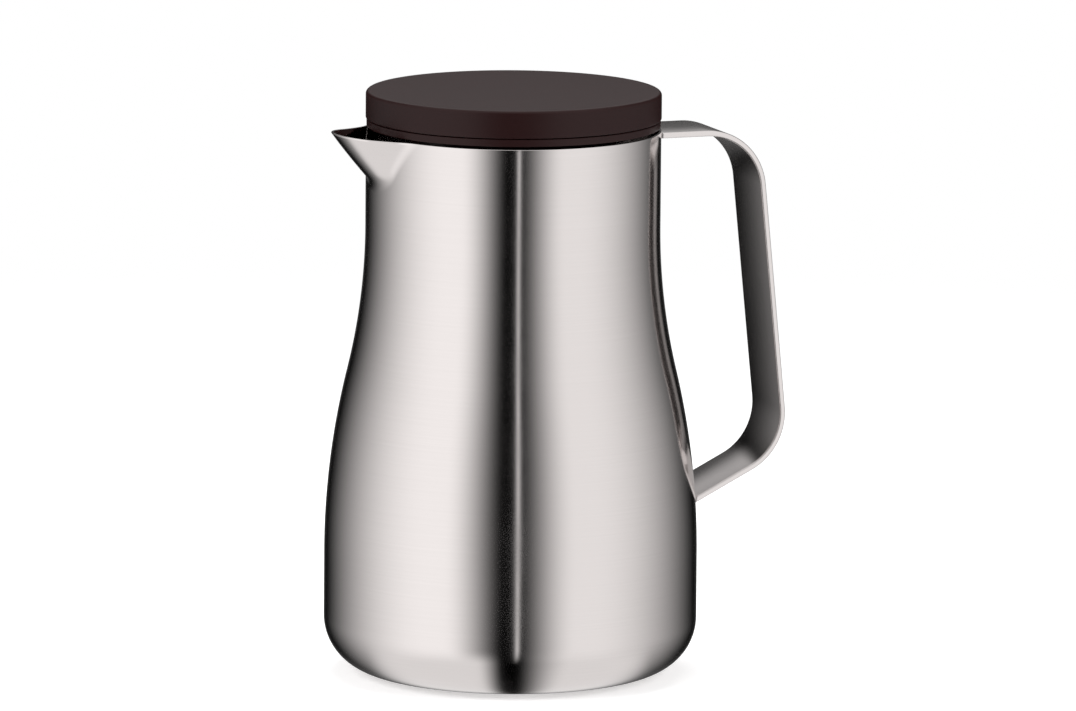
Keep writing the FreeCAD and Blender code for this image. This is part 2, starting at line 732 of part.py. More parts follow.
def make_stopper_body():
    """Hollow threaded stopper with a gasket groove, the lid's flange and a spigot for the cap."""
    body = new_body("stopper_body")
    bottom = seal_foot - d.seal_fit - d.stopper_lip
    bed_low = seal_foot - d.seal_fit
    bed_high = seal_foot + d.seal_height + d.seal_fit
    edge = d.neck_radius - d.flange_inset
    spigot_top = flange_top + d.spigot_height
    spigot_bore = spigot_radius - d.spigot_wall
    ring_low = flange_top + d.cap_ring_rise
    ring_high = ring_low + d.cap_ring_height
    ring_bed = spigot_radius - d.ring_groove
    revolve(body, "stopper_turned", [
        Corner(ON_AXIS, bottom),
        Corner(lip_edge, bottom),
        Corner(lip_edge, bed_low),
        Corner(seal_bed, bed_low),
        Corner(seal_bed, bed_high),
        Corner(stopper_radius, bed_high),
        Corner(stopper_radius, flange_under),
        Corner(edge, flange_under),
        Corner(edge, flange_top),
        Corner(spigot_radius, flange_top),
        Corner(spigot_radius, ring_low),
        Corner(ring_bed, ring_low),
        Corner(ring_bed, ring_high),
        Corner(spigot_radius, ring_high),
        Corner(spigot_radius, spigot_top),
        Corner(spigot_bore, spigot_top),
        Corner(spigot_bore, flange_top),
        Corner(stopper_radius - d.stopper_wall, flange_top),
        Corner(stopper_radius - d.stopper_wall, bed_high + d.stopper_wall),
        Corner(seal_bed - d.stopper_wall, bed_high + d.stopper_wall),
        Corner(seal_bed - d.stopper_wall, bottom + d.stopper_wall),
        Corner(ON_AXIS, bottom + d.stopper_wall),
    ])
    ridges(body, "stopper_thread", stopper_radius - d.thread_bite, stopper_crest, stopper_ridge)


def make_stopper_foam():
    """Insulation that fills the stopper from its floor up to the cap."""
    body = new_body("stopper_foam")
    bottom = seal_foot - d.seal_fit - d.stopper_lip + d.stopper_wall + d.cap_fit
    step = seal_foot + d.seal_height + d.seal_fit + d.stopper_wall + d.cap_fit
    narrow = seal_bed - d.stopper_wall - d.cap_fit
    wide = stopper_radius - d.stopper_wall - d.cap_fit
    top = cap_under - d.cap_fit
    revolve(body, "foam_turned", [
        Corner(ON_AXIS, bottom),
        Corner(narrow, bottom),
        Corner(narrow, step),
        Corner(wide, step),
        Corner(wide, top),
        Corner(ON_AXIS, top),
    ])


def make_seal_ring():
    """Gasket held by the stopper's lip, with a chamfer towards the thread."""
    body = new_body("seal_ring")
    inside = seal_bed + d.seal_fit
    outside = collar_crest - d.seal_inset
    top = seal_foot + d.seal_height
    revolve(body, "seal_turned", [
        Corner(inside, seal_foot),
        Corner(outside, seal_foot),
        Corner(outside, top - d.seal_slope),
        Corner(outside - d.seal_slope, top),
        Corner(inside, top),
    ])


def make_cap_o_ring():
    """Ring in the spigot's groove, against the inside of the cap."""
    body = new_body("cap_o_ring")
    low = flange_top + d.cap_ring_rise + d.ring_fit
    high = low + d.cap_ring_height - d.ring_fit * 2
    revolve(body, "cap_ring_turned", [
        Corner(spigot_radius - d.ring_groove + d.ring_fit, low),
        Corner(cap_bore - d.weld_fit, low),
        Corner(cap_bore - d.weld_fit, high),
        Corner(spigot_radius - d.ring_groove + d.ring_fit, high),
    ])


make_outer_shell()
make_inner_flask()
make_heat_foil()
make_bottom_pan()
make_vacuum_plug()
make_getter_pill()
make_base_cover()
make_foot_ring()
make_thread_collar()
make_collar_seal()
make_handle_strap()
make_lid_cap()
make_stopper_body()
make_stopper_foam()
make_seal_ring()
make_cap_o_ring()
doc.recompute()

PIECE_TYPES = ("PartDesign::Body", "Part::Cylinder")
pieces = [item for item in doc.Objects if item.TypeId in PIECE_TYPES]
for item in doc.Objects:
    if "Invalid" in item.State or "Error" in item.State:
        raise RuntimeError(f"{item.Label}: {item.State}")
for piece in pieces:
    if piece.Shape.isNull() or not piece.Shape.isValid() or len(piece.Shape.Solids) != 1:
        raise RuntimeError(f"{piece.Label} is not one valid solid")

os.makedirs("parts", exist_ok=True)
for piece in pieces:
    piece.Shape.exportStep(f"parts/{piece.Label}.step")
    print(f"{piece.Label}: {piece.Shape.Volume / 1000:.2f} cm3")
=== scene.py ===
"""Looks of the steel pouring carafe: smooth sheet-metal forms, finishes, studio and camera.

Metres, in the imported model's own frame: +Z up, handle to +X, spout to -X.
"""
import math

import bpy
import numpy as np
from mathutils import Matrix, Vector


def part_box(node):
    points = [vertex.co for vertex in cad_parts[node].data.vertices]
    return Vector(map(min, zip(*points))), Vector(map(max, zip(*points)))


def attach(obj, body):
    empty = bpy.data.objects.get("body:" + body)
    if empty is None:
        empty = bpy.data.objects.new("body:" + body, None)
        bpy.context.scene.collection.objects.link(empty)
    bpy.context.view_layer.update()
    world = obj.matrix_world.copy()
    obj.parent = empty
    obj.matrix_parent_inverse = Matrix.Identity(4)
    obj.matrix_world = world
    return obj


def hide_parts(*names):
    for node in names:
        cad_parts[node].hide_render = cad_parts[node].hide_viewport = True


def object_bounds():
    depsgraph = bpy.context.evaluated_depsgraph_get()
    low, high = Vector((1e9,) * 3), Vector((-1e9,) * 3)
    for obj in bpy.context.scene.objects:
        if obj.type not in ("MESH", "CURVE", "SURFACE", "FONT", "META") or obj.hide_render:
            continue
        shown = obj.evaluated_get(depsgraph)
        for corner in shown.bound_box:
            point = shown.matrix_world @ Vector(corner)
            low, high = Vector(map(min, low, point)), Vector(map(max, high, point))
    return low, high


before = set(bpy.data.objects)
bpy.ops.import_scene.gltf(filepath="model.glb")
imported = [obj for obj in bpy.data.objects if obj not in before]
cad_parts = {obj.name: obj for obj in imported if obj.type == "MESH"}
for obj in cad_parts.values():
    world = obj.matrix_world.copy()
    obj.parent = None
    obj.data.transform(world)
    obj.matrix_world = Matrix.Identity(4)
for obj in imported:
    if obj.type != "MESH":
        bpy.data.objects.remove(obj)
CAD_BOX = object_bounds()

bl_info = {
    "name": "Steel pouring carafe",
    "version": (1, 0, 0),
    "blender": (4, 5, 0),
    "location": "3D View > Sidebar > Carafe",
    "description": "Builds a double-walled carafe with a screw lid around its packed frame",
    "category": "Add Mesh",
}

MM = 0.001
SHELL_LOW, SHELL_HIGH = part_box("outer_shell")
FLASK_LOW, FLASK_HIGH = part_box("inner_flask")
STRAP_LOW, STRAP_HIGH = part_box("handle_strap")
CAP_LOW, CAP_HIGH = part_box("lid_cap")
STOPPER_LOW, STOPPER_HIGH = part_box("stopper_body")
COLLAR_LOW, COLLAR_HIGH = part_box("thread_collar")
SEAL_LOW, SEAL_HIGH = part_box("seal_ring")
COVER_LOW, COVER_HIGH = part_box("base_cover")
FOOT_LOW, FOOT_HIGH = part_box("foot_ring")
CAP_RING_LOW, CAP_RING_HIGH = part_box("cap_o_ring")
COLLAR_RING_LOW, COLLAR_RING_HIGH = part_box("collar_seal")


def length(name, description, default):
    """A size in metres."""
    return bpy.props.FloatProperty(
        name=name, description=description, default=default, unit="LENGTH", precision=5)


def angle(name, description, degrees):
    """An angle, given in degrees."""
    return bpy.props.FloatProperty(
        name=name, description=description, default=math.radians(degrees), subtype="ANGLE")


def colour(name, description, rgb):
    """A surface colour."""
    return bpy.props.FloatVectorProperty(
        name=name, description=description, default=rgb, subtype="COLOR", size=3, min=0, max=1)


class CarafeBody(bpy.types.PropertyGroup):
    """Sizes of the shell, its spout and the flask inside."""

    neck_radius: length("Neck radius", "Outside of the straight neck", CAP_HIGH.y - 0.1 * MM)
    belly_radius: length("Belly radius", "Outside of the belly", SHELL_HIGH.y)
    belly_height: length("Belly height", "Top of the straight belly band", 42 * MM)
    neck_foot: length("Neck foot", "Bottom of the straight neck", 157 * MM)
    shoulder_radius: length("Shoulder radius", "Hollow curve from shoulder to neck", 215 * MM)
    base_corner: length("Base corner", "Round between belly and base", 19 * MM)
    base_lip: length("Base lip", "Flat steel edge round the base cover", 1.5 * MM)
    base_level: length("Base level", "Underside of the steel", SHELL_LOW.z)
    rim_height: length("Rim height", "Top edge of the steel", SHELL_HIGH.z - 0.6 * MM)
    spout_lift: length("Spout lift", "Rise of the spout tip above the rim", 1.2 * MM)
    wall: length("Sheet", "Thickness of the shell", 0.7 * MM)
    spout_reach: length("Spout reach", "Spout tip from the axis", -SHELL_LOW.x)
    spout_tip: length("Spout tip", "Plan radius of the tip", 17 * MM)
    spout_angle: angle("Spout angle", "Half angle of the V in plan", 33)
    spout_depth: length("Spout depth", "Spout root below the rim", 17.3 * MM)
    spout_wall: length("Spout sheet", "Thickness of the spout, measured level", 0.9 * MM)
    crease: length("Crease", "Softness of the fold between neck and spout", 2.4 * MM)
    flask_inset: length("Flask inset", "Flask outside inside the shell's outside", 8.1 * MM)
    flask_wall: length("Flask sheet", "Thickness of the flask", 0.5 * MM)
    flask_corner: length("Flask corner", "Outer round of the flask floor", 16 * MM)
    weld_gap: length("Weld gap", "Air between the flask's lip and the shell", 0.05 * MM)
    funnel_lip: length("Funnel lip", "Height of the flask's weld lip", 2.5 * MM)
    funnel_drop: length("Funnel drop", "Fall from the lip to the flask neck", 5 * MM)
    funnel_bend: length("Funnel bend", "Rounding of the funnel's bends", 1.2 * MM)
    funnel_edge: length("Funnel edge", "Rounding of the weld lip's top", 0.2 * MM)


class CarafeHandle(bpy.types.PropertyGroup):
    """Sizes of the strap handle."""

    width: length("Width", "Strap width", STRAP_HIGH.y - STRAP_LOW.y)
    wall: length("Thickness", "Strap thickness", 2 * MM)
    bend: length("Bend", "Inside radius of the bends", 20 * MM)
    edge: length("Edge", "Rounding of the strap's long edges", 0.5 * MM)
    top: length("Top", "Height of the strap's upper face", STRAP_HIGH.z)
    top_reach: length("Top reach", "Upper corner from the axis", 87.05 * MM)
    low_reach: length("Low reach", "Lower corner from the axis", 98.55 * MM)
    low_height: length("Low height", "Lower corner above the foot", 74.8 * MM)
    foot_reach: length("Foot reach", "Lower leg where it meets the belly", 64.5 * MM)
    foot_height: length("Foot height", "Lower leg where it meets the belly", 58.2 * MM)
    weld: length("Weld", "How far the ends sink in the shell's sheet", 0.3 * MM)


class CarafeLid(bpy.types.PropertyGroup):
    """Sizes of the lid, its stopper, the collar that it screws into and the gasket."""

    edge: length("Edge", "Upper edge rounding of the cap", 1.3 * MM)
    cap_wall: length("Cap wall", "Side wall and top of the cap", 2.4 * MM)
    cap_skirt: length("Cap skirt", "Cap's lower edge below the spigot's top", 3.7 * MM)
    cap_fit: length("Cap fit", "Air between the cap's rib and the flange", 0.1 * MM)
    rib_radius: length("Rib radius", "Inside of the rib under the cap", 40 * MM)
    rib_wall: length("Rib wall", "Thickness of the rib", 2 * MM)
    flange: length("Flange", "Thickness of the band under the cap", 2.6 * MM)
    spigot_fit: length("Spigot fit", "Air between the spigot and the cap's wall", 0.3 * MM)
    spigot_wall: length("Spigot wall", "Thickness of the spigot in the cap", 2.6 * MM)
    stopper_wall: length("Stopper wall", "Wall of the hollow stopper", 2 * MM)
    lead: length("Lead", "Rise of the lid in one turn", 16 * MM)
    ridge_depth: length("Ridge depth", "Height of a thread ridge", 2 * MM)
    ridge_foot: length("Ridge foot", "Width of a ridge at the wall", 1.9 * MM)
    ridge_crest: length("Ridge crest", "Width of a ridge at its crest", 1.1 * MM)
    ridge_soft: length("Ridge edge", "Soft edge beside a ridge's crest", 0.15 * MM)
    ridge_bite: length("Ridge bite", "How far a ridge's foot sinks in its wall", 0.3 * MM)
    ridge_gap: length("Ridge gap", "Air between the stopper's ridges and the collar", 0.6 * MM)
    ridge_rise: length("Ridge rise", "Start of the collar's ridges above the seat", 9.3 * MM)
    ridge_span: angle("Ridge span", "Length of one ridge", 60)
    starts: bpy.props.IntProperty(
        name="Starts", description="Ridges round the stopper", default=4, min=1)
    collar_wall: length("Collar wall", "Collar behind its thread", 4 * MM)
    collar_fit: length("Collar fit", "Air between collar and flask", 0.1 * MM)
    collar_flange: length("Collar flange", "Thickness of the collar's upper edge", 1.2 * MM)
    seat: length("Seat", "Width of the sealing seat", 5.3 * MM)
    seat_wall: length("Seat wall", "Thickness of the seat", 2.2 * MM)
    tongue_gap: length("Tongue gap", "Air between the stopper's foot and the seat", 0.5 * MM)
    seal_width: length("Gasket width", "Gasket from its bore to its outside", 4.65 * MM)
    seal_slope: length("Gasket slope", "Chamfer of the gasket towards the thread", 1.15 * MM)
    seal_edge: length("Gasket edge", "Soft edges of the gasket", 0.3 * MM)
    seal_hold: length("Gasket hold", "Depth of the gasket's groove", 1.7 * MM)
    seal_fit: length("Gasket fit", "Air above and below the gasket", 0.15 * MM)
    groove: length("Groove", "Depth of the grooves for the hidden rings", 1.3 * MM)
    groove_fit: length("Groove fit", "Air above and below a hidden ring", 0.1 * MM)
    soft_edge: length("Soft edge", "Moulded edges of plastic and rubber", 0.35 * MM)


class CarafeBase(bpy.types.PropertyGroup):
    """Sizes of the base cover and the foot ring in it."""

    cover_wall: length("Cover plate", "Thickness of the plate", 2 * MM)
    cover_land: length("Cover land", "Width of the glued land at the edge", 4 * MM)
    cover_edge: length("Cover edge", "Moulded edges of the cover", 0.35 * MM)
    foot_width: length("Foot width", "Width of the foot ring", 6 * MM)
    foot_seat: length("Foot seat", "Depth of the groove for the foot ring", 1.2 * MM)
    foot_fit: length("Foot fit", "Air on both sides of the foot ring", 0.15 * MM)
    foot_edge: length("Foot edge", "Rounding of the foot ring", 0.8 * MM)


class CarafeColours(bpy.types.PropertyGroup):
    """Colours of the finishes."""

    steel: colour("Steel", "Brushed shell and handle", (0.735, 0.692, 0.680))
    inner_steel: colour("Inner steel", "Bright drawn flask", (0.66, 0.65, 0.645))
    lid: colour("Lid", "Dark brown lid", (0.0150, 0.0044, 0.0044))
    collar: colour("Collar", "Plastic collar in the mouth", (0.045, 0.036, 0.035))
    base: colour("Base", "Plastic base cover", (0.035, 0.032, 0.031))
    silicone: colour("Silicone", "Foot and hidden rings", (0.055, 0.052, 0.052))
    seal: colour("Seal", "Gasket of the stopper", (0.50, 0.48, 0.45))
    foam: colour("Foam", "Insulation", (0.80, 0.76, 0.64))
    foil: colour("Foil", "Radiation foil round the flask", (0.82, 0.82, 0.83))
    getter: colour("Getter", "Sintered pill in the vacuum", (0.16, 0.16, 0.165))
    glass: colour("Glass", "Solder glass of the vacuum plug", (0.30, 0.36, 0.34))
    floor: colour("Floor", "Studio floor", (0.93, 0.93, 0.93))


def make_object(name, vertices, faces):
    """A smooth-shaded mesh object at the origin, from vertex and face arrays."""
    mesh = bpy.data.meshes.new(name)
    mesh.from_pydata(vertices.tolist(), [], faces)
    mesh.validate()
    mesh.shade_smooth()
    piece = bpy.data.objects.new(name, mesh)
    bpy.context.scene.collection.objects.link(piece)
    return piece


def dress(piece, node, body, material):
    """Put a finished piece in the place of its node, on its body, with its finish."""
    piece.data.materials.clear()
    piece.data.materials.append(material)
    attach(piece, body)
    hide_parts(node)


def finish_node(node, material):
    """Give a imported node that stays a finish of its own."""
    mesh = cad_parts[node].data
    mesh.materials.clear()
    mesh.materials.append(material)


def grid_faces(rows, columns, close_rows, close_columns):
    """Quads of a rows by columns grid of vertices, row after row, closed where asked."""
    r = np.arange(rows if close_rows else rows - 1)
    c = np.arange(columns if close_columns else columns - 1)
    row, column = np.meshgrid(r, c, indexing="ij")
    next_row = (row + 1) % rows
    next_column = (column + 1) % columns
    quads = np.stack([
        row * columns + column,
        row * columns + next_column,
        next_row * columns + next_column,
        next_row * columns + column,
    ], axis=-1)
    return quads.reshape(-1, 4).tolist()


def arc(centre, radius, start, stop, count):
    """Points on a circle about centre, from angle start to stop in degrees."""
    turn = np.radians(np.linspace(start, stop, count))
    return np.stack([centre[0] + radius * np.cos(turn), centre[1] + radius * np.sin(turn)], axis=1)


def line(first, last, count):
    """Points on a straight run, without its last point."""
    share = np.linspace(0, 1, count, endpoint=False)[:, None]
    return np.array(first) * (1 - share) + np.array(last) * share


def outline(corners, steps=5, hold=0.3 * MM):
    """Outline through (radius, height, rounding) corners, closed unless both ends are on the axis.

    A rounded corner becomes an arc of that radius, tangent to both its sides. Each straight side
    gets two more points near its ends, which keep it flat under smooth shading.
    """
    points = np.array([corner[:2] for corner in corners], float)
    rounds = np.array([corner[2] if len(corner) > 2 else 0.0 for corner in corners])
    runs = []
    for index, (point, rounding) in enumerate(zip(points, rounds)):
        before = points[index - 1] - point
        after = points[(index + 1) % len(points)] - point
        before, after = before / np.linalg.norm(before), after / np.linalg.norm(after)
        if rounding == 0:
            runs.append(point[None, :])
            continue
        half = math.acos(np.clip(before @ after, -1, 1)) / 2
        middle = (before + after) / np.linalg.norm(before + after)
        centre = point + middle * rounding / math.sin(half)
        share = np.linspace(-1, 1, steps + 1) * (math.pi / 2 - half)
        sideways = (after - before) / np.linalg.norm(after - before)
        swing = np.sin(share)[:, None] * sideways - np.cos(share)[:, None] * middle
        runs.append(centre + rounding * swing)
    on_axis = points[0, 0] == 0 and points[-1, 0] == 0
    pieces = []
    for index, run in enumerate(runs):
        pieces.append(run)
        if on_axis and index == len(runs) - 1:
            break
        first, last = run[-1], runs[(index + 1) % len(runs)][0]
        span = np.linalg.norm(last - first)
        if span > 4 * hold:
            step = (last - first) / span * hold
            pieces.append(np.stack([first + step, last - step]))
    return np.concatenate(pieces)


def lathe(profile, columns=160):
    """Surface of revolution: (radius, height) points of a profile turned about the carafe's axis.

    Points on the axis become single poles with a fan of triangles. Returns vertices and faces.
    """
    first_pole = profile[0, 0] == 0
    last_pole = profile[-1, 0] == 0
    ring = profile[int(first_pole):len(profile) - int(last_pole)]
    turn = np.arange(columns) * (2 * math.pi / columns)
    radius, height = ring[:, :1], ring[:, 1:]
    vertices = np.stack([
        radius * np.cos(turn), radius * np.sin(turn), height + 0 * turn], axis=-1).reshape(-1, 3)
    faces = grid_faces(len(ring), columns, not (first_pole or last_pole), True)
    here = np.arange(columns)
    after = (here + 1) % columns
    if first_pole:
        pole = np.full(columns, len(vertices))
        vertices = np.vstack([vertices, [[0, 0, profile[0, 1]]]])
        faces += np.stack([pole, after, here], axis=1).tolist()
    if last_pole:
        top = (len(ring) - 1) * columns
        pole = np.full(columns, len(vertices))
        vertices = np.vstack([vertices, [[0, 0, profile[-1, 1]]]])
        faces += np.stack([pole, top + here, top + after], axis=1).tolist()
    return vertices, faces


def join(*parts):
    """Several (vertices, faces) shells as one."""
    vertices, faces, offset = [], [], 0
    for some_vertices, some_faces in parts:
        vertices.append(some_vertices)
        faces += [[index + offset for index in face] for face in some_faces]
        offset += len(some_vertices)
    return np.vstack(vertices), faces


def ease(share):
    """A soft step from 0 to 1."""
    share = np.clip(share, 0, 1)
    return share * share * (3 - 2 * share)


def ridges(lid, foot_radius, crest_radius, start_height):
    """Interrupted thread ridges: a trapezoid carried along a helix, with its ends run out.

    At turn t the section stands at height start + lead * t / 360 degrees; its crest sinks to the
    wall over the first and last tenth of the ridge. The ridge is repeated round the axis.
    """
    steps, run_out, end_share = 49, 0.1, 0.03
    share = np.linspace(0, 1, steps)
    turn = share * lid.ridge_span
    swell = end_share + (1 - end_share) * ease(np.minimum(share, 1 - share) / run_out)
    foot, crest = lid.ridge_foot / 2, lid.ridge_crest / 2
    side = crest + lid.ridge_soft
    across = np.array([-foot, -side, -crest, crest, side, foot])
    depth = np.array([0, 0.9, 1, 1, 0.9, 0])
    radius = foot_radius + (crest_radius - foot_radius) * depth * swell[:, None]
    height = start_height + lid.lead * turn[:, None] / (2 * math.pi) + across
    if crest_radius < foot_radius:
        radius, height = radius[:, ::-1], height[:, ::-1]
    shells = []
    for copy in range(lid.starts):
        place = turn[:, None] + copy * 2 * math.pi / lid.starts
        vertices = np.stack([radius * np.cos(place), radius * np.sin(place), height], axis=-1)
        faces = grid_faces(steps, len(across), False, True)
        faces.append(list(range(len(across)))[::-1])
        faces.append(list(range((steps - 1) * len(across), steps * len(across))))
        shells.append((vertices.reshape(-1, 3), [face[::-1] for face in faces]))
    return join(*shells)


def body_line(body, inset, count):
    """The carafe's side moved inwards by inset, from the belly band up to the foot of the neck.

    A full arc leaves the belly upright, a hollow arc reaches the neck upright, and the two share
    a tangent. The sum of their radii is (step squared + climb squared) / (2 step).
    """
    neck, belly = body.neck_radius - inset, body.belly_radius - inset
    hollow = body.shoulder_radius + inset
    step, climb = belly - neck, body.neck_foot - body.belly_height
    both = (step ** 2 + climb ** 2) / (2 * step)
    full = both - hollow
    lean = math.degrees(math.asin(climb / both))
    lower = arc((belly - full, body.belly_height), full, 0, lean, count)
    upper = arc((neck + hollow, body.neck_foot), hollow, 180 + lean, 180, count)
    return np.concatenate([lower, upper[1:]])


def spout_plan(body, bearing, height, wall):
    """Distance from the axis to the spout's V, along a bearing from the spout's middle.

    In plan the spout is a V with a round tip: on a ray the tip's circle gives the distance near
    the middle and a straight flank beyond. The V leans outwards, so it shrinks towards its root.
    """
    lean = (body.spout_reach - body.neck_radius) / body.spout_depth
    shift = lean * (body.rim_height - height)
    tip = body.spout_tip - wall
    half = body.spout_angle
    centre = body.spout_reach - body.spout_tip - shift
    apex = centre + tip / math.sin(half)
    ray = np.minimum(np.abs(bearing), math.pi / 2 - half)
    flank = apex * math.sin(half) / np.sin(half + ray)
    inside = np.maximum(tip ** 2 - (centre * np.sin(ray)) ** 2, 0)
    circle = centre * np.cos(ray) + np.sqrt(inside)
    touch = np.arctan2(tip * math.cos(half), centre + tip * math.sin(half))
    return np.where(ray < touch, circle, flank)


def soft_max(first, second, width):
    """The larger of two surfaces, with the fold between them rounded over width."""
    share = np.clip(0.5 + 0.5 * (first - second) / width, 0, 1)
    return second + (first - second) * share + width * share * (1 - share)


def shell_surface(body):
    """Wall of the shell: outer side, rim and inner side as rows, bearings as columns.

    Each row is a ring at one height; above the spout's root its radius is the larger of the neck
    and the spout's V, so the V grows out of the round neck. The rim is a half round over the sheet
    and climbs towards the spout's tip by the square of its share of the reach.
    """
    near = math.radians(36)
    at_spout = np.linspace(-near, near, 180, endpoint=False)
    elsewhere = np.linspace(near, 2 * math.pi - near, 200, endpoint=False)
    bearing = np.concatenate([at_spout, elsewhere])
    bearing = (bearing + math.pi) % (2 * math.pi) - math.pi
    base = body.base_level
    flat = body.belly_radius - body.base_corner
    root = body.rim_height - body.spout_depth - 2 * body.crease
    rim = body.rim_height - body.wall / 2
    corner = (flat, base + body.base_corner)
    outer = np.concatenate([
        line((flat - body.base_lip, base), (flat, base), 3),
        arc(corner, body.base_corner, -90, 0, 26),
        body_line(body, 0, 34),
        line((body.neck_radius, body.neck_foot), (body.neck_radius, root), 4)[1:],
        line((body.neck_radius, root), (body.neck_radius, rim), 46),
    ])
    bore = body.neck_radius - body.wall
    inner = np.concatenate([
        line((bore, rim), (bore, root), 40)[1:],
        line((bore, root), (bore, body.neck_foot), 3),
        body_line(body, body.wall, 14)[::-1],
        arc(corner, body.base_corner - body.wall, 0, -90, 10),
        line((flat, base + body.wall), (flat - body.base_lip, base + body.wall), 2)[1:],
        [(flat - body.base_lip, base + body.wall)],
    ])

    def ring(rows, wall):
        """Radii of rows at every bearing, with the spout."""
        radius, height = rows[:, :1], rows[:, 1:]
        spout = spout_plan(body, bearing, height, wall)
        return np.where(height > root, soft_max(spout, radius + 0 * bearing, body.crease), radius)

    rim_turn = np.linspace(0, math.pi, 9)[:, None]
    rim_out = ring(np.array([[body.neck_radius, rim]]), 0)
    rim_in = ring(np.array([[bore, rim]]), body.spout_wall)
    rim_radius = (rim_out + rim_in) / 2 + (rim_out - rim_in) / 2 * np.cos(rim_turn)
    rim_height = rim + body.wall / 2 * np.sin(rim_turn)
    radius = np.concatenate([ring(outer, 0), rim_radius, ring(inner, body.spout_wall)])
    height = np.concatenate([outer[:, 1:], rim_height, inner[:, 1:]])
    out = np.clip((radius - body.neck_radius) / (body.spout_reach - body.neck_radius), 0, 1) ** 2
    height = height + body.spout_lift * out * np.clip((height - root) / (rim - root), 0, 1)
    vertices = np.stack([-radius * np.cos(bearing), -radius * np.sin(bearing), height], axis=-1)
    rows, columns = radius.shape
    return vertices.reshape(-1, 3), grid_faces(rows, columns, True, True)


def side_radius(body, height):
    """Outside radius of the carafe's side at some heights."""
    profile = np.concatenate([
        [(body.belly_radius, 0)], body_line(body, 0, 80), [(body.neck_radius, body.rim_height)]])
    return np.interp(height, profile[:, 1], profile[:, 0])


def strap_surface(body, handle):
    """Bent strap: a round-edged flat section carried along two legs, a grip and two bends.

    Rows follow the path, columns go round the section. On the end legs each column runs from
    where it meets the shell, so the strap's ends follow the round of the neck and of the belly.
    The lower leg's columns find the belly by stepping most of the remaining gap, a few times.
    """
    half_wall, half_width = handle.wall / 2, handle.width / 2
    side, face = half_width - handle.edge, half_wall - handle.edge
    edges = ((side, face), (-side, face), (-side, -face), (side, -face))
    around = np.concatenate([
        arc(edge, handle.edge, 90 * turn, 90 * turn + 90, 5) for turn, edge in enumerate(edges)])
    across, out = around[:, 0], around[:, 1]
    centre_round = handle.bend + half_wall
    top = np.array([handle.top_reach - half_wall, handle.top - half_wall])
    low = np.array([handle.low_reach - half_wall, handle.low_height + half_wall])
    foot = np.array([handle.foot_reach, handle.foot_height + half_wall])
    start = np.array([body.neck_radius, top[1]])
    corners = [start, top, low, foot]
    ways = [(b - a) / np.linalg.norm(b - a) for a, b in zip(corners, corners[1:])]
    sides = [np.array([-way[1], way[0]]) for way in ways]
    bends = []
    for index in (0, 1):
        turn = math.acos(np.clip(ways[index] @ ways[index + 1], -1, 1))
        reach = centre_round * math.tan(turn / 2)
        entry = corners[index + 1] - ways[index] * reach
        middle = entry - sides[index] * centre_round
        swing = np.linspace(0, turn, 25)[:, None]
        outward = np.cos(swing) * sides[index] + np.sin(swing) * ways[index]
        bends.append((middle + centre_round * outward, outward))
    (upper_bend, upper_out), (lower_bend, lower_out) = bends
    neck_x = np.sqrt((body.neck_radius - handle.weld) ** 2 - across ** 2)
    entry = upper_bend[0]
    share = np.linspace(0, 1, 10, endpoint=False)[:, None]
    top_leg = np.stack([
        neck_x * (1 - share) + entry[0] * share, entry[1] + out + 0 * share], axis=-1)
    leave = lower_bend[-1] + out[:, None] * lower_out[-1]
    travel = np.linalg.norm(foot - lower_bend[-1]) * np.ones(len(out))
    for _ in range(12):
        spot = leave + travel[:, None] * ways[2]
        gap = np.hypot(spot[:, 0], across) - (side_radius(body, spot[:, 1]) - handle.weld)
        travel = travel + gap * 0.9
    share = np.linspace(0, 1, 12)[1:, None, None]
    low_leg = leave + share * (travel[:, None] * ways[2])
    share = np.linspace(0, 1, 14)[1:-1, None]
    grip = upper_bend[-1] * (1 - share) + lower_bend[0] * share
    plane = np.concatenate([
        top_leg,
        upper_bend[:, None, :] + out[:, None] * upper_out[:, None, :],
        grip[:, None, :] + out[:, None] * sides[1],
        lower_bend[:, None, :] + out[:, None] * lower_out[:, None, :],
        low_leg,
    ])
    count, columns = plane.shape[:2]
    vertices = np.stack([plane[:, :, 0], across + np.zeros((count, 1)), plane[:, :, 1]], axis=-1)
    faces = grid_faces(count, columns, False, True)
    faces.append(list(range(columns))[::-1])
    faces.append(list(range((count - 1) * columns, count * columns)))
    return vertices.reshape(-1, 3), faces


def flask_surface(body):
    """Inner vessel: closed floor, belly, neck and a funnel lip, as one turned sheet.

    Its side is the carafe's own side moved inwards, once for each face of the sheet.
    """
    inset, wall = body.flask_inset, body.flask_wall
    floor = FLASK_LOW.z
    flat = body.belly_radius - inset - body.flask_corner
    corner = (flat, floor + body.flask_corner)
    neck = body.neck_radius - inset
    lip = body.neck_radius - body.wall - body.weld_gap
    lip_top = FLASK_HIGH.z
    throat = lip_top - body.funnel_lip
    mouth = throat - body.funnel_drop
    bend, edge = body.funnel_bend, body.funnel_edge
    upper = outline([
        (neck, body.neck_foot), (neck, mouth - wall, bend), (lip, throat - wall, bend),
        (lip, lip_top, edge), (lip - wall, lip_top, edge), (lip - wall, throat, bend),
        (neck - wall, mouth, bend), (neck - wall, body.neck_foot),
    ])
    # The neck's foot is the last point of the side already
    upper = upper[upper[:, 1] > body.neck_foot + 0.1 * MM]
    return lathe(np.concatenate([
        [(0, floor)],
        line((flat / 3, floor), (flat, floor), 3),
        arc(corner, body.flask_corner, -90, 0, 14),
        body_line(body, inset, 20),
        upper,
        body_line(body, inset + wall, 24)[::-1],
        arc(corner, body.flask_corner - wall, 0, -90, 20),
        line((flat, floor + wall), (flat / 3, floor + wall), 4)[1:],
        [(0, floor + wall)],
    ]), 180)


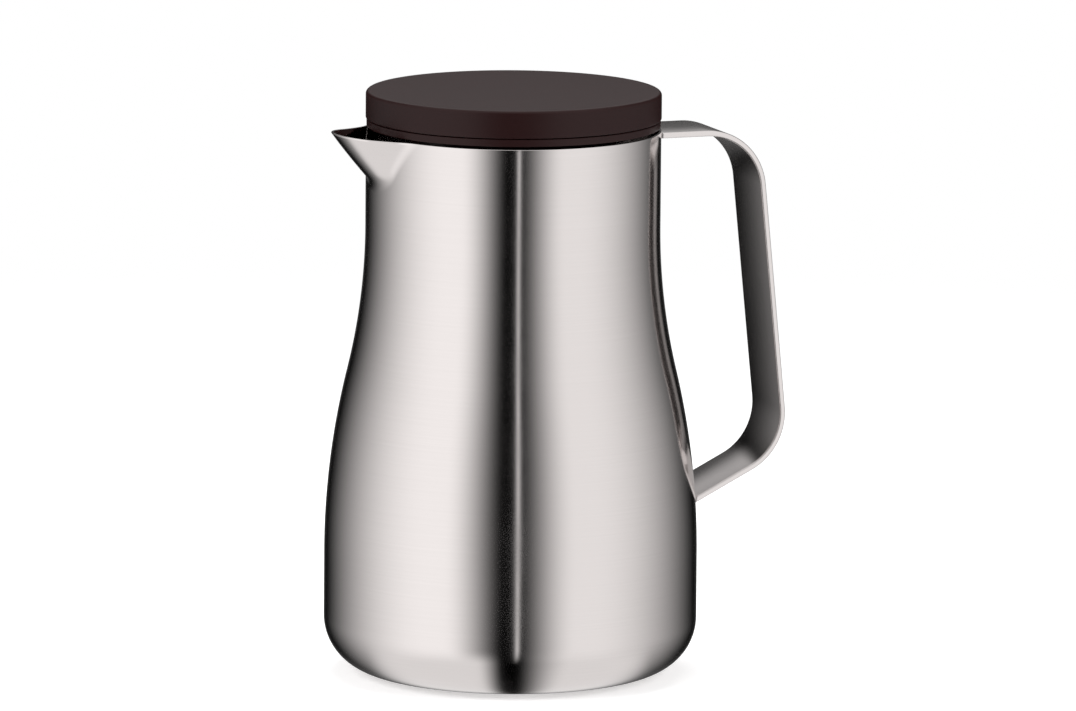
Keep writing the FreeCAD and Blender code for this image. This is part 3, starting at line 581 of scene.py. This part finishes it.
def ring_groove(lid, ring_low, ring_high, wall):
    """Corners of a square groove in an outside wall, round a ring of which the box is known."""
    low, high = ring_low.z - lid.groove_fit, ring_high.z + lid.groove_fit
    bed = wall - lid.groove
    return [(wall, low), (bed, low), (bed, high), (wall, high)]


def collar_radius(body, lid):
    """Outside of the collar, in the flask's neck."""
    return body.neck_radius - body.flask_inset - body.flask_wall - lid.collar_fit


def ridge_start(lid):
    """Height at which the collar's ridges start."""
    return COLLAR_LOW.z + lid.seat_wall + lid.ridge_rise


def collar_surface(body, lid):
    """Collar in the mouth: flange on the funnel, bore with thread ridges, seat for the gasket."""
    radius = collar_radius(body, lid)
    bore = radius - lid.collar_wall
    seat = bore - lid.seat
    foot, head = COLLAR_LOW.z, COLLAR_HIGH.z
    edge = COLLAR_HIGH.y
    seat_top = foot + lid.seat_wall
    flange = head - lid.collar_flange
    shoulder = flange - (edge - radius) * body.funnel_drop / (body.neck_radius - body.wall - radius)
    soft = lid.soft_edge
    ring = lathe(outline([
        (seat, foot, soft), (radius, foot, soft),
        *ring_groove(lid, COLLAR_RING_LOW, COLLAR_RING_HIGH, radius),
        (radius, shoulder), (edge, flange, soft),
        (edge, head, soft), (bore, head, 3 * soft), (bore, seat_top, soft), (seat, seat_top, soft),
    ]))
    return join(ring, ridges(lid, bore + lid.ridge_bite, bore - lid.ridge_depth, ridge_start(lid)))


def stopper_surface(body, lid):
    """Hollow stopper: gasket groove, threaded cup, the flange under the cap and its spigot.

    Its ridges start half a pitch under the collar's, so the two threads pass between each other.
    """
    bore = collar_radius(body, lid) - lid.collar_wall
    crest = bore - lid.ridge_gap
    radius = crest - lid.ridge_depth
    tongue = bore - lid.seat - lid.tongue_gap
    bed = tongue - lid.seal_hold
    foot, head = STOPPER_LOW.z, STOPPER_HIGH.z
    groove_low, groove_high = SEAL_LOW.z - lid.seal_fit, SEAL_HIGH.z + lid.seal_fit
    top = CAP_LOW.z - lid.cap_fit
    under = top - lid.flange
    edge = STOPPER_HIGH.y
    spigot = CAP_HIGH.y - lid.cap_wall - lid.spigot_fit
    spigot_bore = spigot - lid.spigot_wall
    soft, wall = lid.soft_edge, lid.stopper_wall
    cup = lathe(outline([
        (0, foot), (tongue, foot, 2 * soft), (tongue, groove_low, soft), (bed, groove_low),
        (bed, groove_high), (radius, groove_high, 2 * soft), (radius, under, 4 * soft),
        (edge, under, soft), (edge, top, soft), (spigot, top),
        *ring_groove(lid, CAP_RING_LOW, CAP_RING_HIGH, spigot), (spigot, head, soft),
        (spigot_bore, head, soft), (spigot_bore, top),
        (radius - wall, top, soft), (radius - wall, groove_high + wall),
        (bed - wall, groove_high + wall), (bed - wall, foot + wall), (0, foot + wall),
    ]))
    start = ridge_start(lid) - lid.lead / lid.starts / 2
    return join(cup, ridges(lid, radius - lid.ridge_bite, crest, start))


def cap_surface(lid):
    """Disc cap: flat top with a rounded edge, hollow underneath with a rib."""
    radius, top, foot = CAP_HIGH.y, CAP_HIGH.z, STOPPER_HIGH.z - lid.cap_skirt
    bore, under = radius - lid.cap_wall, top - lid.cap_wall
    rib_in, rib_out, rib_foot = lid.rib_radius, lid.rib_radius + lid.rib_wall, CAP_LOW.z
    soft = lid.soft_edge
    return lathe(outline([
        (0, under), (rib_in, under), (rib_in, rib_foot, soft), (rib_out, rib_foot, soft),
        (rib_out, under), (bore, under), (bore, foot, soft), (radius, foot, soft),
        (radius, top, lid.edge), (radius / 2, top), (0, top),
    ], steps=10), 240)


def seal_surface(lid):
    """Gasket: a soft flat ring with a chamfer towards the thread."""
    low, high, radius = SEAL_LOW.z, SEAL_HIGH.z, SEAL_HIGH.y
    bore, slope, soft = radius - lid.seal_width, lid.seal_slope, lid.seal_edge
    return lathe(outline([
        (bore, low, soft), (radius, low, soft), (radius, high - slope, soft),
        (radius - slope, high, soft), (bore, high, soft),
    ]))


def cover_surface(base):
    """Base cover: a plate with a groove for the foot ring and a glued land above its edge."""
    low, high, radius = COVER_LOW.z, COVER_HIGH.z, COVER_HIGH.y
    ring_out = FOOT_HIGH.y + base.foot_fit
    ring_in = FOOT_HIGH.y - base.foot_width - base.foot_fit
    bed, plate = low + base.foot_seat, low + base.cover_wall
    land, soft = radius - base.cover_land, base.cover_edge
    return lathe(outline([
        (0, low), (ring_in, low, soft), (ring_in, bed), (ring_out, bed), (ring_out, low, soft),
        (radius, low, soft), (radius, high), (land, high), (land, plate), (0, plate),
    ]))


def foot_surface(base):
    """Foot ring: flat underneath with rounded edges."""
    radius, low, high = FOOT_HIGH.y, FOOT_LOW.z, FOOT_HIGH.z
    bore, soft = radius - base.foot_width, base.foot_edge
    return lathe(outline([
        (bore, low, soft), (radius, low, soft), (radius, high), (bore, high)]))


def add_node(nodes, kind, inputs=()):
    """A shader node of a kind, with some of its inputs set."""
    node = nodes.new(f"ShaderNode{kind}")
    for label, value in dict(inputs).items():
        node.inputs[label].default_value = value
    return node


def add_math(nodes, links, operation, first, second):
    """Two sockets added or subtracted, kept between 0 and 1."""
    node = add_node(nodes, "Math")
    node.operation = operation
    node.use_clamp = True
    links.new(first, node.inputs[0])
    links.new(second, node.inputs[1])
    return node.outputs["Value"]


def noise(nodes, links, place, inputs):
    """A noise pattern over some coordinates."""
    pattern = add_node(nodes, "TexNoise", inputs)
    links.new(place, pattern.inputs["Vector"])
    return pattern


def new_group(name, inputs, outputs):
    """An empty shader node group with named float and vector sockets."""
    group = bpy.data.node_groups.new(name, "ShaderNodeTree")
    for direction, sockets in (("INPUT", inputs), ("OUTPUT", outputs)):
        for label, kind in sockets:
            group.interface.new_socket(label, in_out=direction, socket_type=f"NodeSocket{kind}")
    return group, group.nodes.new("NodeGroupInput"), group.nodes.new("NodeGroupOutput")


def brushed_grain():
    """Fine parallel scratches and slow cloudy change: noise stretched along the brushing."""
    name = "brushed_grain"
    if name in bpy.data.node_groups:
        return bpy.data.node_groups[name]
    group, given, put = new_group(
        name, inputs=[("Along", "Vector"), ("Place", "Vector")],
        outputs=[("Scratch", "Float"), ("Cloud", "Float")])
    nodes, links = group.nodes, group.links
    fine = noise(
        nodes, links, given.outputs["Along"], {"Scale": 1.0, "Detail": 6.0, "Roughness": 0.65})
    cloud = noise(nodes, links, given.outputs["Place"], {"Scale": 28.0, "Detail": 3.0})
    links.new(fine.outputs["Fac"], put.inputs["Scratch"])
    links.new(cloud.outputs["Fac"], put.inputs["Cloud"])
    return group


def moulded_grain():
    """Spark-eroded mould texture: a fine pebble for the bump and a slow change of tone."""
    name = "moulded_grain"
    if name in bpy.data.node_groups:
        return bpy.data.node_groups[name]
    group, given, put = new_group(
        name, inputs=[("Place", "Vector"), ("Grain", "Float")],
        outputs=[("Pebble", "Float"), ("Tone", "Float")])
    nodes, links = group.nodes, group.links
    pebble = noise(nodes, links, given.outputs["Place"], {"Detail": 3.0})
    links.new(given.outputs["Grain"], pebble.inputs["Scale"])
    tone = noise(nodes, links, given.outputs["Place"], {"Scale": 45.0, "Detail": 4.0})
    links.new(pebble.outputs["Fac"], put.inputs["Pebble"])
    links.new(tone.outputs["Fac"], put.inputs["Tone"])
    return group


def new_material(name):
    """A node material with a shader and its output; returns it with its nodes, links and shader."""
    material = bpy.data.materials.new(name)
    material.use_nodes = True
    nodes, links = material.node_tree.nodes, material.node_tree.links
    nodes.clear()
    shader = add_node(nodes, "BsdfPrincipled")
    output = add_node(nodes, "OutputMaterial")
    links.new(shader.outputs["BSDF"], output.inputs["Surface"])
    return material, nodes, links, shader


def span(nodes, links, source, low, high):
    """A value that runs from low to high as the source runs over the middle of its range."""
    remap = add_node(nodes, "MapRange", {
        "From Min": 0.3, "From Max": 0.7, "To Min": low, "To Max": high})
    links.new(source, remap.inputs["Value"])
    return remap.outputs["Result"]


def blend_colour(nodes, links, source, first, second):
    """A colour between two, by a mask."""
    mix = add_node(nodes, "Mix")
    mix.data_type = "RGBA"
    mix.inputs["A"].default_value = (*first, 1)
    mix.inputs["B"].default_value = (*second, 1)
    links.new(source, mix.inputs["Factor"])
    return mix.outputs["Result"]


def bump(nodes, links, shader, height, strength, depth):
    """Raise the surface by a height pattern."""
    node = add_node(nodes, "Bump", {"Strength": strength, "Distance": depth})
    links.new(height, node.inputs["Height"])
    links.new(node.outputs["Normal"], shader.inputs["Normal"])


def tones(rgb, *factors):
    """Darker or lighter tones of a colour."""
    return [tuple(min(1.0, factor * channel) for channel in rgb) for factor in factors]


def steel(name, rgb, stretch, rough, scratch):
    """Brushed steel: stretch is the noise scale along X, Y and Z, high across the brushing.

    The scratches, of a given depth, change tone and bump; slow clouds change the roughness.
    """
    material, nodes, links, shader = new_material(name)
    place = add_node(nodes, "TexCoord").outputs["Object"]
    mapping = add_node(nodes, "Mapping", {"Scale": stretch})
    links.new(place, mapping.inputs["Vector"])
    grain = nodes.new("ShaderNodeGroup")
    grain.node_tree = brushed_grain()
    links.new(mapping.outputs["Vector"], grain.inputs["Along"])
    links.new(place, grain.inputs["Place"])
    tint = blend_colour(nodes, links, grain.outputs["Scratch"], *tones(rgb, 0.93, 1.0))
    links.new(tint, shader.inputs["Base Color"])
    links.new(span(nodes, links, grain.outputs["Cloud"], *rough), shader.inputs["Roughness"])
    bump(nodes, links, shader, grain.outputs["Scratch"], strength=0.25, depth=scratch)
    shader.inputs["Metallic"].default_value = 1.0
    return material


def moulded(name, rgb, grain, rough, gloss):
    """Moulded plastic or rubber: a fine pebble changes bump and roughness, slow noise the tone."""
    material, nodes, links, shader = new_material(name)
    place = add_node(nodes, "TexCoord").outputs["Object"]
    texture = nodes.new("ShaderNodeGroup")
    texture.node_tree = moulded_grain()
    texture.inputs["Grain"].default_value = grain
    links.new(place, texture.inputs["Place"])
    tint = blend_colour(nodes, links, texture.outputs["Tone"], *tones(rgb, 0.9, 1.12))
    links.new(tint, shader.inputs["Base Color"])
    links.new(span(nodes, links, texture.outputs["Pebble"], *rough), shader.inputs["Roughness"])
    bump(nodes, links, shader, texture.outputs["Pebble"], strength=0.35, depth=0.03 * MM)
    shader.inputs["Specular IOR Level"].default_value = gloss
    return material


class CARAFE_OT_outer_shell(bpy.types.Operator):
    """Build the brushed shell with its pressed spout"""

    bl_idname = "carafe.outer_shell"
    bl_label = "Outer shell"

    def execute(self, context):
        piece = make_object("shell_with_spout", *shell_surface(context.scene.carafe_body))
        finish = steel(
            "brushed_steel", context.scene.carafe_colours.steel,
            stretch=(14, 14, 2600), rough=(0.10, 0.14), scratch=0.004 * MM)
        dress(piece, "outer_shell", "jug", finish)
        return {"FINISHED"}


class CARAFE_OT_handle(bpy.types.Operator):
    """Build the bent strap handle"""

    bl_idname = "carafe.handle"
    bl_label = "Strap handle"

    def execute(self, context):
        scene = context.scene
        piece = make_object("bent_strap", *strap_surface(scene.carafe_body, scene.carafe_handle))
        finish = steel(
            "strap_steel", scene.carafe_colours.steel,
            stretch=(30, 2200, 30), rough=(0.16, 0.22), scratch=0.004 * MM)
        dress(piece, "handle_strap", "jug", finish)
        return {"FINISHED"}


class CARAFE_OT_flask(bpy.types.Operator):
    """Build the inner flask and finish the pieces hidden in the vacuum"""

    bl_idname = "carafe.flask"
    bl_label = "Inner flask"

    def execute(self, context):
        colours = context.scene.carafe_colours
        piece = make_object("drawn_flask", *flask_surface(context.scene.carafe_body))
        bright = steel(
            "drawn_steel", colours.inner_steel,
            stretch=(10, 10, 1200), rough=(0.2, 0.32), scratch=0.003 * MM)
        dress(piece, "inner_flask", "jug", bright)
        finish_node("bottom_pan", bright)
        finish_node("heat_foil", steel(
            "foil", colours.foil, stretch=(60, 60, 60), rough=(0.15, 0.3), scratch=0.02 * MM))
        finish_node("getter_pill", moulded(
            "getter", colours.getter, grain=5000, rough=(0.6, 0.8), gloss=0.3))
        finish_node("vacuum_plug", moulded(
            "solder_glass", colours.glass, grain=2500, rough=(0.12, 0.25), gloss=0.5))
        return {"FINISHED"}


class CARAFE_OT_collar(bpy.types.Operator):
    """Build the threaded collar in the mouth"""

    bl_idname = "carafe.collar"
    bl_label = "Thread collar"

    def execute(self, context):
        scene = context.scene
        colours = scene.carafe_colours
        piece = make_object("threaded_collar", *collar_surface(scene.carafe_body, scene.carafe_lid))
        finish = moulded(
            "collar_plastic", colours.collar, grain=4200, rough=(0.4, 0.55), gloss=0.45)
        dress(piece, "thread_collar", "jug", finish)
        finish_node("collar_seal", moulded(
            "ring_silicone", colours.silicone, grain=3000, rough=(0.6, 0.75), gloss=0.35))
        return {"FINISHED"}


class CARAFE_OT_base(bpy.types.Operator):
    """Build the base cover and the foot ring"""

    bl_idname = "carafe.base"
    bl_label = "Base"

    def execute(self, context):
        colours, base = context.scene.carafe_colours, context.scene.carafe_base
        cover = make_object("base_plate", *cover_surface(base))
        plastic = moulded("base_plastic", colours.base, grain=2600, rough=(0.5, 0.68), gloss=0.4)
        dress(cover, "base_cover", "jug", plastic)
        foot = make_object("soft_foot", *foot_surface(base))
        soft = moulded(
            "foot_silicone", colours.silicone, grain=3000, rough=(0.62, 0.78), gloss=0.35)
        dress(foot, "foot_ring", "jug", soft)
        return {"FINISHED"}


class CARAFE_OT_lid(bpy.types.Operator):
    """Build the cap and the threaded stopper under it"""

    bl_idname = "carafe.lid"
    bl_label = "Lid"

    def execute(self, context):
        scene = context.scene
        colours, lid = scene.carafe_colours, scene.carafe_lid
        brown = moulded("lid_plastic", colours.lid, grain=3800, rough=(0.29, 0.39), gloss=0.19)
        cap = make_object("disc_cap", *cap_surface(lid))
        dress(cap, "lid_cap", "lid", brown)
        stopper = make_object("screw_stopper", *stopper_surface(scene.carafe_body, lid))
        dress(stopper, "stopper_body", "lid", brown)
        finish_node("stopper_foam", moulded(
            "foam", colours.foam, grain=900, rough=(0.8, 0.95), gloss=0.2))
        finish_node("cap_o_ring", moulded(
            "o_ring", colours.silicone, grain=3000, rough=(0.55, 0.7), gloss=0.35))
        return {"FINISHED"}


class CARAFE_OT_seal(bpy.types.Operator):
    """Build the gasket of the stopper"""

    bl_idname = "carafe.seal"
    bl_label = "Gasket"

    def execute(self, context):
        scene = context.scene
        piece = make_object("stopper_gasket", *seal_surface(scene.carafe_lid))
        finish = moulded(
            "seal_silicone", scene.carafe_colours.seal, grain=2600, rough=(0.5, 0.65), gloss=0.4)
        dress(piece, "seal_ring", "seal", finish)
        return {"FINISHED"}


# The view: how far the camera stands round and above the object and its lean, in degrees, then its
# distance, the point that it looks at, to the right of the axis and up, and the picture's scale
VIEW_BEARING = -20.5
VIEW_RISE = 9.45
VIEW_LEAN = 0.45
VIEW_DISTANCE = 4.0
VIEW_SIDE = 9.07 * MM
VIEW_HEIGHT = 111.2 * MM
PICTURE_WIDTH = 1076
PIXEL = 0.3476 * MM

# The light tent: a drum in metres, bearings from the camera in degrees, brightness as strength
TENT_RADIUS, TENT_LOW, TENT_HIGH = 1.2, -3.0, 1.6
TENT_COLUMNS = 720
DARK_LEVEL = 0.004
GAP_EDGE, BOX_RISE = 4.5, 36
BOX_EDGE, BOX_FALL = 50, 108
LEFT_LEVEL, RIGHT_LEVEL = 1.22, 1.06
STRIP_LEVEL, STRIP_BEARING, STRIP_WIDTH = 1.1, 4.6, 1.0
BACK_LEVEL, BACK_EDGE, BACK_RISE = 0.08, 156, 20
HIGH_LEVEL, HIGH_EDGE, HIGH_RISE = 0.5, 150, 16
HIGH_FOOT, HIGH_CLIMB = 0.45, 0.2
# Under the table, the gap is given as the sine of the bearing that shows it in an upright wall
LOW_LEVEL, LOW_GAP = 0.95, 0.04
LOW_RISE_LEFT, LOW_RISE_RIGHT = 0.14, 0.29
LOW_OUTER, LOW_OUTER_RISE = 0.6, 1.2
NEAR_TOP, NEAR_DEPTH = -0.22, 0.9
OUTER_TOP, OUTER_DEPTH = -0.4, 2.0

# The floor: its size, its drop under the foot, its glow, and where it starts to fade
FLOOR_RADIUS = 0.9
FLOOR_DROP = 0.1 * MM
FLOOR_GLOW = 0.32
FLOOR_FADE = 0.35
# The white surround as light on the object
SOFT_LIGHT = 0.5


def view_axes():
    """Right, up and back of the camera before its lean."""
    bearing, rise = math.radians(VIEW_BEARING), math.radians(VIEW_RISE)
    back = Vector((
        math.sin(bearing) * math.cos(rise), -math.cos(bearing) * math.cos(rise), math.sin(rise)))
    right = Vector((math.cos(bearing), math.sin(bearing), 0))
    return right, back.cross(right), back


def add_camera():
    """Long lens, level with the middle of the carafe and leaning a little."""
    right, up, back = view_axes()
    lean = math.radians(VIEW_LEAN)
    across = right * math.cos(lean) + up * math.sin(lean)
    over = up * math.cos(lean) - right * math.sin(lean)
    data = bpy.data.cameras.new("camera")
    data.lens = data.sensor_width * VIEW_DISTANCE / (PICTURE_WIDTH * PIXEL)
    camera = bpy.data.objects.new("camera", data)
    place = right * VIEW_SIDE + Vector((0, 0, VIEW_HEIGHT)) + back * VIEW_DISTANCE
    turn = Matrix((across, over, back)).transposed().to_4x4()
    camera.matrix_world = Matrix.Translation(place) @ turn
    bpy.context.scene.collection.objects.link(camera)
    bpy.context.scene.camera = camera


def tent_level(bearing, reach, height):
    """Brightness of the light tent, by bearing from the camera, reach from the axis and height.

    Two wide soft boxes, left and right: each rises over a soft step from the gap at the camera
    and falls as a squared cosine towards the back. A thin strip stands beside the gap. The back
    is dim and grows lighter upwards. Below the table it is bright on both sides of the gap, which
    narrows towards the back as the half angle's cosine, so that a rounded base shows it straight.
    """
    side = np.degrees(np.abs(bearing))
    rise = ease((side - GAP_EDGE) / BOX_RISE)
    fall = np.cos(np.radians(90 * np.clip((side - BOX_EDGE) / BOX_FALL, 0, 1))) ** 2
    boxes = np.where(bearing < 0, LEFT_LEVEL, RIGHT_LEVEL) * rise * fall
    strip = STRIP_LEVEL * np.exp(-((np.degrees(bearing) - STRIP_BEARING) / STRIP_WIDTH) ** 2)
    back = BACK_LEVEL * ease((side - BACK_EDGE) / BACK_RISE)
    high = HIGH_LEVEL * ease((height - HIGH_FOOT) / HIGH_CLIMB)
    high = high * ease((side - HIGH_EDGE) / HIGH_RISE)
    around = DARK_LEVEL + boxes + strip + back + high
    eye = math.radians(VIEW_RISE)
    tilt = (np.arctan2(-height, reach * np.cos(bearing)) - eye) / 2
    across = np.abs(reach * np.sin(bearing)) / np.hypot(reach, height)
    narrowing = 2 * np.cos(tilt) * np.cos(tilt + eye)
    from_gap = across / np.maximum(narrowing, 0.02)
    below = LOW_LEVEL * ease(
        (from_gap - LOW_GAP) / np.where(bearing < 0, LOW_RISE_LEFT, LOW_RISE_RIGHT))
    outer = ease((from_gap - LOW_OUTER) / LOW_OUTER_RISE)
    near_depth = ease((NEAR_TOP - height) / NEAR_DEPTH)
    outer_depth = ease((OUTER_TOP - height) / OUTER_DEPTH)
    depth = near_depth * (1 - outer) + outer_depth * outer
    return around * (1 - depth) + below * depth


def add_tent():
    """Drum of soft light round the object that only reflections see."""
    bearing = np.linspace(-math.pi, math.pi, TENT_COLUMNS, endpoint=False)
    corner, top = (TENT_RADIUS, TENT_LOW), (TENT_RADIUS, TENT_HIGH)
    profile = np.concatenate([line((0.01, TENT_LOW), corner, 24), line(corner, top, 40), [top]])
    reach, height = profile[:, :1] + 0 * bearing, profile[:, 1:] + 0 * bearing
    turn = bearing + math.radians(VIEW_BEARING - 90)
    vertices = np.stack([reach * np.cos(turn), reach * np.sin(turn), height], axis=-1)
    faces = grid_faces(len(profile), TENT_COLUMNS, False, True)
    tent = make_object("light_tent", vertices.reshape(-1, 3), faces)
    shade = tent.data.attributes.new("level", "FLOAT", "POINT")
    shade.data.foreach_set("value", tent_level(bearing, reach, height).ravel())
    material, nodes, links, shader = new_material("tent_cloth")
    glow = add_node(nodes, "Emission")
    source = add_node(nodes, "Attribute")
    source.attribute_name = "level"
    links.new(source.outputs["Fac"], glow.inputs["Strength"])
    links.new(glow.outputs["Emission"], nodes["Material Output"].inputs["Surface"])
    nodes.remove(shader)
    material.cycles.emission_sampling = "NONE"
    tent.data.materials.append(material)
    tent.visible_camera = False
    tent.visible_diffuse = False
    tent.visible_shadow = False
    tent.visible_transmission = False


def add_floor(rgb):
    """Pale round floor under the foot, fading into the white; see-through from below."""
    level = CAD_BOX[0].z - FLOOR_DROP
    profile = np.array([(FLOOR_RADIUS, level), (FLOOR_RADIUS / 2, level), (0, level)])
    floor = make_object("floor", *lathe(profile, 96))
    material, nodes, links, shader = new_material("floor_paper")
    shader.inputs["Roughness"].default_value = 0.9
    shader.inputs["Specular IOR Level"].default_value = 0.0
    shader.inputs["Base Color"].default_value = (*rgb, 1)
    shader.inputs["Emission Color"].default_value = (1, 1, 1, 1)
    shader.inputs["Emission Strength"].default_value = FLOOR_GLOW
    away = add_node(nodes, "VectorMath")
    away.operation = "LENGTH"
    links.new(add_node(nodes, "TexCoord").outputs["Object"], away.inputs[0])
    fade = add_node(nodes, "MapRange", {
        "From Min": FLOOR_FADE, "From Max": FLOOR_RADIUS, "To Min": 1.0, "To Max": 0.0})
    fade.interpolation_type = "SMOOTHSTEP"
    links.new(away.outputs["Value"], fade.inputs["Value"])
    back = add_node(nodes, "NewGeometry").outputs["Backfacing"]
    upper = add_math(nodes, links, "SUBTRACT", fade.outputs["Result"], back)
    links.new(upper, shader.inputs["Alpha"])
    floor.data.materials.append(material)
    floor.visible_glossy = False


def add_world():
    """White to the camera, to reflections and through glass; softer as light on the object."""
    world = bpy.data.worlds.new("studio")
    bpy.context.scene.world = world
    world.use_nodes = True
    nodes, links = world.node_tree.nodes, world.node_tree.links
    nodes.clear()
    path = add_node(nodes, "LightPath").outputs
    seen = add_math(nodes, links, "ADD", path["Is Camera Ray"], path["Is Glossy Ray"])
    seen = add_math(nodes, links, "ADD", seen, path["Is Transmission Ray"])
    soft = add_node(nodes, "Background", {"Color": (1, 1, 1, 1), "Strength": SOFT_LIGHT})
    white = add_node(nodes, "Background", {"Color": (1, 1, 1, 1), "Strength": 1.0})
    mix = add_node(nodes, "MixShader")
    links.new(seen, mix.inputs["Fac"])
    links.new(soft.outputs["Background"], mix.inputs[1])
    links.new(white.outputs["Background"], mix.inputs[2])
    output = add_node(nodes, "OutputWorld")
    links.new(mix.outputs["Shader"], output.inputs["Surface"])


def add_lamp(name, side, height, near, size, watts):
    """Soft box aimed at the carafe, placed by the camera's right, up and towards it."""
    right, _, back = view_axes()
    level = Vector((back.x, back.y, 0)).normalized()
    data = bpy.data.lights.new(name, "AREA")
    data.shape = "DISK"
    data.size = size
    data.energy = watts
    lamp = bpy.data.objects.new(name, data)
    lamp.location = right * side + level * near + Vector((0, 0, height))
    aim = Vector((0, 0, CAD_BOX[1].z / 2)) - lamp.location
    lamp.rotation_euler = aim.to_track_quat("-Z", "Y").to_euler()
    lamp.visible_glossy = False
    lamp.visible_camera = False
    bpy.context.scene.collection.objects.link(lamp)


class CARAFE_OT_stage(bpy.types.Operator):
    """Set up the floor, the light tent, the lamps and the camera"""

    bl_idname = "carafe.stage"
    bl_label = "Stage"

    def execute(self, context):
        context.scene.view_settings.view_transform = "Standard"
        add_camera()
        add_world()
        add_floor(context.scene.carafe_colours.floor)
        add_tent()
        add_lamp("left_box", side=-1.1, height=1.0, near=0.9, size=1.0, watts=14)
        add_lamp("right_box", side=1.2, height=0.9, near=0.7, size=1.0, watts=11)
        add_lamp("top_box", side=0.1, height=1.6, near=-0.4, size=1.2, watts=12)
        return {"FINISHED"}


PIECES = (
    CARAFE_OT_outer_shell, CARAFE_OT_handle, CARAFE_OT_flask, CARAFE_OT_collar, CARAFE_OT_base,
    CARAFE_OT_lid, CARAFE_OT_seal, CARAFE_OT_stage,
)


class CARAFE_PT_panel(bpy.types.Panel):
    """Lists the carafe's pieces and its sizes"""

    bl_idname = "CARAFE_PT_panel"
    bl_label = "Carafe"
    bl_space_type = "VIEW_3D"
    bl_region_type = "UI"
    bl_category = "Carafe"

    def draw(self, context):
        for operator in PIECES:
            self.layout.operator(operator.bl_idname)
        for group in SETTINGS:
            box = self.layout.box()
            settings = getattr(context.scene, group)
            for prop in settings.bl_rna.properties:
                if prop.identifier not in ("name", "rna_type"):
                    box.prop(settings, prop.identifier)


SETTINGS = {
    "carafe_body": CarafeBody,
    "carafe_handle": CarafeHandle,
    "carafe_lid": CarafeLid,
    "carafe_base": CarafeBase,
    "carafe_colours": CarafeColours,
}
CLASSES = (*SETTINGS.values(), *PIECES, CARAFE_PT_panel)


def register():
    """Register every class and hang the settings on the scene."""
    for cls in CLASSES:
        bpy.utils.register_class(cls)
    for name, cls in SETTINGS.items():
        setattr(bpy.types.Scene, name, bpy.props.PointerProperty(type=cls))


def unregister():
    """Undo register."""
    for name in SETTINGS:
        delattr(bpy.types.Scene, name)
    for cls in reversed(CLASSES):
        bpy.utils.unregister_class(cls)


def main():
    """Build every piece and the stage."""
    register()
    bpy.ops.carafe.outer_shell()
    bpy.ops.carafe.handle()
    bpy.ops.carafe.flask()
    bpy.ops.carafe.collar()
    bpy.ops.carafe.base()
    bpy.ops.carafe.lid()
    bpy.ops.carafe.seal()
    bpy.ops.carafe.stage()


if __name__ == "__main__":
    main()
